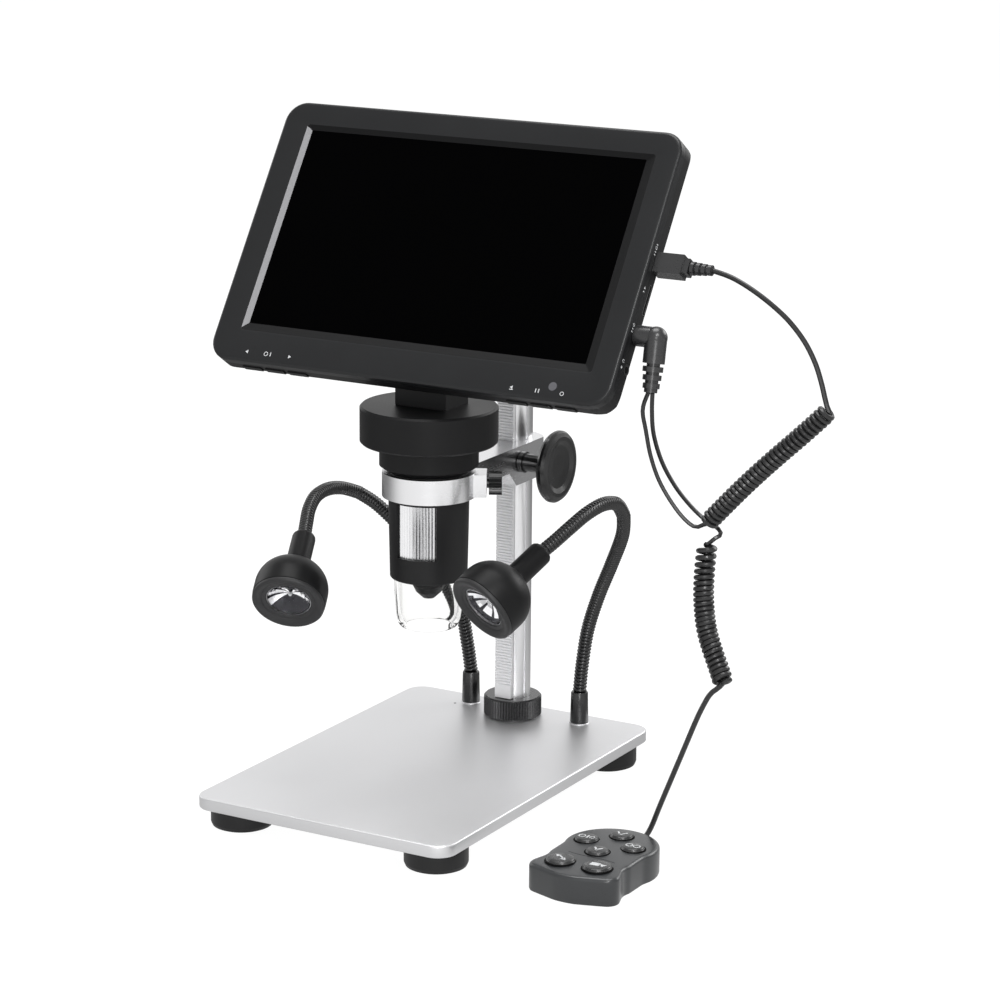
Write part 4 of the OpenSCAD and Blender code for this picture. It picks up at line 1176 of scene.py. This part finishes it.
# %% Empty sockets in the side of the screen
SOCKET = side_face @ Matrix.Translation((PORT_DEPTH, -39.3, 0))
CARD_SLOT = (1.9, 12.5, 0.3)
CARD_MIDDLE = (7.6, -10)
socket_ring = turned([(1.35, -0.09), (2.38, -0.09), (2.38, -0.02), (1.35, -0.02)], 40)
add_piece("socket_ring", socket_ring, "black_gloss", "screen", place=SOCKET)
# painted shade: a flat dark disc for the inside of the socket
socket_hole = turned([(0, -0.08), (1.4, -0.08)], 32, loop=False)
add_piece("socket_hole", socket_hole, "shadow_black", "screen", place=SOCKET)
# painted shade: a flat dark shape for the inside of the card slot
slot = skin([rounded_loop(*CARD_SLOT, 0, z, CARD_MIDDLE) for z in (-0.2, -0.05)], top=True)
add_piece("card_slot", slot, "shadow_black", "screen", place=side_face)
slot_lip = skin([rounded_loop(*CARD_SLOT, inset, -0.04, CARD_MIDDLE) for inset in (0, 0.18)])
add_piece("card_slot_lip", slot_lip, "steel", "screen", place=side_face)

# %% [markdown]
# The solids that are already right only need their finish. The record names a finish for every
# node, so a loop hands them out. A few nodes have a finish of their own instead, such as the
# column with its long streaks.

# %% Finishes for the solid parts
own_finish = {
    "carriage_arm": "ring_silver", "column": "column_silver", "column_rack": "rack_silver",
    "column_nut": "grip_black", "lcd_panel": "picture_black", "head_housing": "head_black",
    "usb_plug": "grip_black", "jack_plug": "grip_black",
}
for part in frame["record"]["subparts"]:
    name = part["node"]
    finish = own_finish.get(name, part["material_slot"])
    node = frame["nodes"][name]
    node.data.materials.clear()
    node.data.materials.append(finishes[finish].material)
print("solid parts dressed:", len(frame["nodes"]))

# %% [markdown]
# A plain pale table runs into a plain pale room. The room is white to the eye and to anything
# shiny, but lights the object only gently. In a mirror, the table grows dark behind the object
# and the room to its sides, which gives the metal its shading.

# %% Table and room
TABLE_SIZE = 4000                    # from its middle to each side
TABLE_GLOW = 1.12
GLOW_SHARE = 0.86                    # how much of the table that is seen is glow and not paint
ROOM_LIGHT, ROOM_SEEN = 0.38, 0.62   # what the room gives as light, and what the eye sees on top
SIDE_SHADE = 0.62
TO_CAMERA = (math.sin(AZIMUTH), -math.cos(AZIMUTH), 0.0)
floor_mesh = bmesh.new()
bmesh.ops.create_grid(floor_mesh, x_segments=1, y_segments=1, size=TABLE_SIZE)
bmesh.ops.transform(floor_mesh, matrix=Matrix.Scale(MM, 4), verts=floor_mesh.verts)
floor_data = bpy.data.meshes.new("table")
floor_mesh.to_mesh(floor_data)
floor_mesh.free()
floor = bpy.data.objects.new("table", floor_data)
bpy.context.scene.collection.objects.link(floor)


def seen(network):
    """1 where the eye, a mirror or clear plastic looks, 0 for light on its way to a surface."""
    rays = network.node("ShaderNodeLightPath")
    outs = rays.socket.node.outputs
    eye, mirror, glass = (Signal(network, outs[name]) for name in (
        "Is Camera Ray", "Is Glossy Ray", "Is Transmission Ray"
    ))
    return eye.math("MAXIMUM", eye.math("MAXIMUM", eye, mirror), glass)


def mirrored(network):
    """1 for rays that a shiny surface sends back, 0 for those that pass through it."""
    outs = network.node("ShaderNodeLightPath").socket.node.outputs
    through = Signal(network, outs["Is Transmission Ray"])
    return Signal(network, outs["Is Glossy Ray"]) * (1 - through)


table = Finish("table", Base_Color=(0.8, 0.8, 0.8), Roughness=0.9)
nearness = table.node(
    "ShaderNodeVectorMath", {"operation": "DOT_PRODUCT"}, table.place, TO_CAMERA, out="Value"
)
far_dark = table.node(
    "ShaderNodeMapRange", {"interpolation_type": "SMOOTHSTEP"}, nearness, -0.35, 0.3, 0.9, 0.0
)
glow = table.node(
    "ShaderNodeEmission", None, (1.0, 1.0, 1.0, 1.0),
    TABLE_GLOW * (1 - far_dark * mirrored(table)),
)
paint = Signal(table, table.shader.outputs["BSDF"])
surface = table.node("ShaderNodeMixShader", None, GLOW_SHARE * seen(table), paint, glow)
table.join(table.output.inputs["Surface"], surface)
floor_data.materials.append(table.material)

world = bpy.data.worlds.new("room")
world.use_nodes = True
bpy.context.scene.world = world


class Room(Finish):
    """The world's own network, with the same way to make nodes."""

    def __init__(self, target):
        self.tree = target.node_tree


room = Room(world)
background = world.node_tree.nodes["Background"]
aim = room.node("ShaderNodeTexCoord", out="Generated")
toward = room.node(
    "ShaderNodeVectorMath", {"operation": "DOT_PRODUCT"}, aim, TO_CAMERA, out="Value"
)
from_side = toward.math("ABSOLUTE", toward + 0.1)
side_band = room.node(
    "ShaderNodeMapRange", {"interpolation_type": "SMOOTHSTEP"}, from_side, 0.25, 0.75, 1.0, 0.0
)
bright = seen(room) * (1 - SIDE_SHADE * side_band * mirrored(room))
room.join(background.inputs["Color"], (1.0, 1.0, 1.0))
room.join(background.inputs["Strength"], ROOM_LIGHT + ROOM_SEEN * bright)
print("table and room ready:", floor.name, world.name)

# %% [markdown]
# Five soft lamps, like studio softboxes, give the shapes their light and dark sides. All of them
# look at the middle of the object. The strongest hangs above it.

# %% Softboxes
LIGHT_TARGET = Vector((0, 0, 0.12))


def softbox(name, place, size, power):
    light = bpy.data.objects.new(name, bpy.data.lights.new(name, "AREA"))
    light.data.shape = "RECTANGLE"
    light.data.size, light.data.size_y = size
    light.data.energy = power
    light.location = place
    aim = LIGHT_TARGET - Vector(place)
    light.rotation_euler = aim.to_track_quat("-Z", "Y").to_euler()
    bpy.context.scene.collection.objects.link(light)


softbox("top", (-0.1, 0.2, 1.6), (1.0, 1.0), 18)
softbox("front", (0.9, -1.5, 0.55), (0.5, 0.7), 6)
softbox("left", (-1.4, 0.2, 0.6), (0.4, 0.9), 2)
softbox("right", (0.66, -0.67, 1.03), (0.3, 0.3), 6)
softbox("back", (0.7, 1.3, 0.8), (0.9, 0.6), 7)
bpy.context.scene.view_settings.view_transform = "Standard"
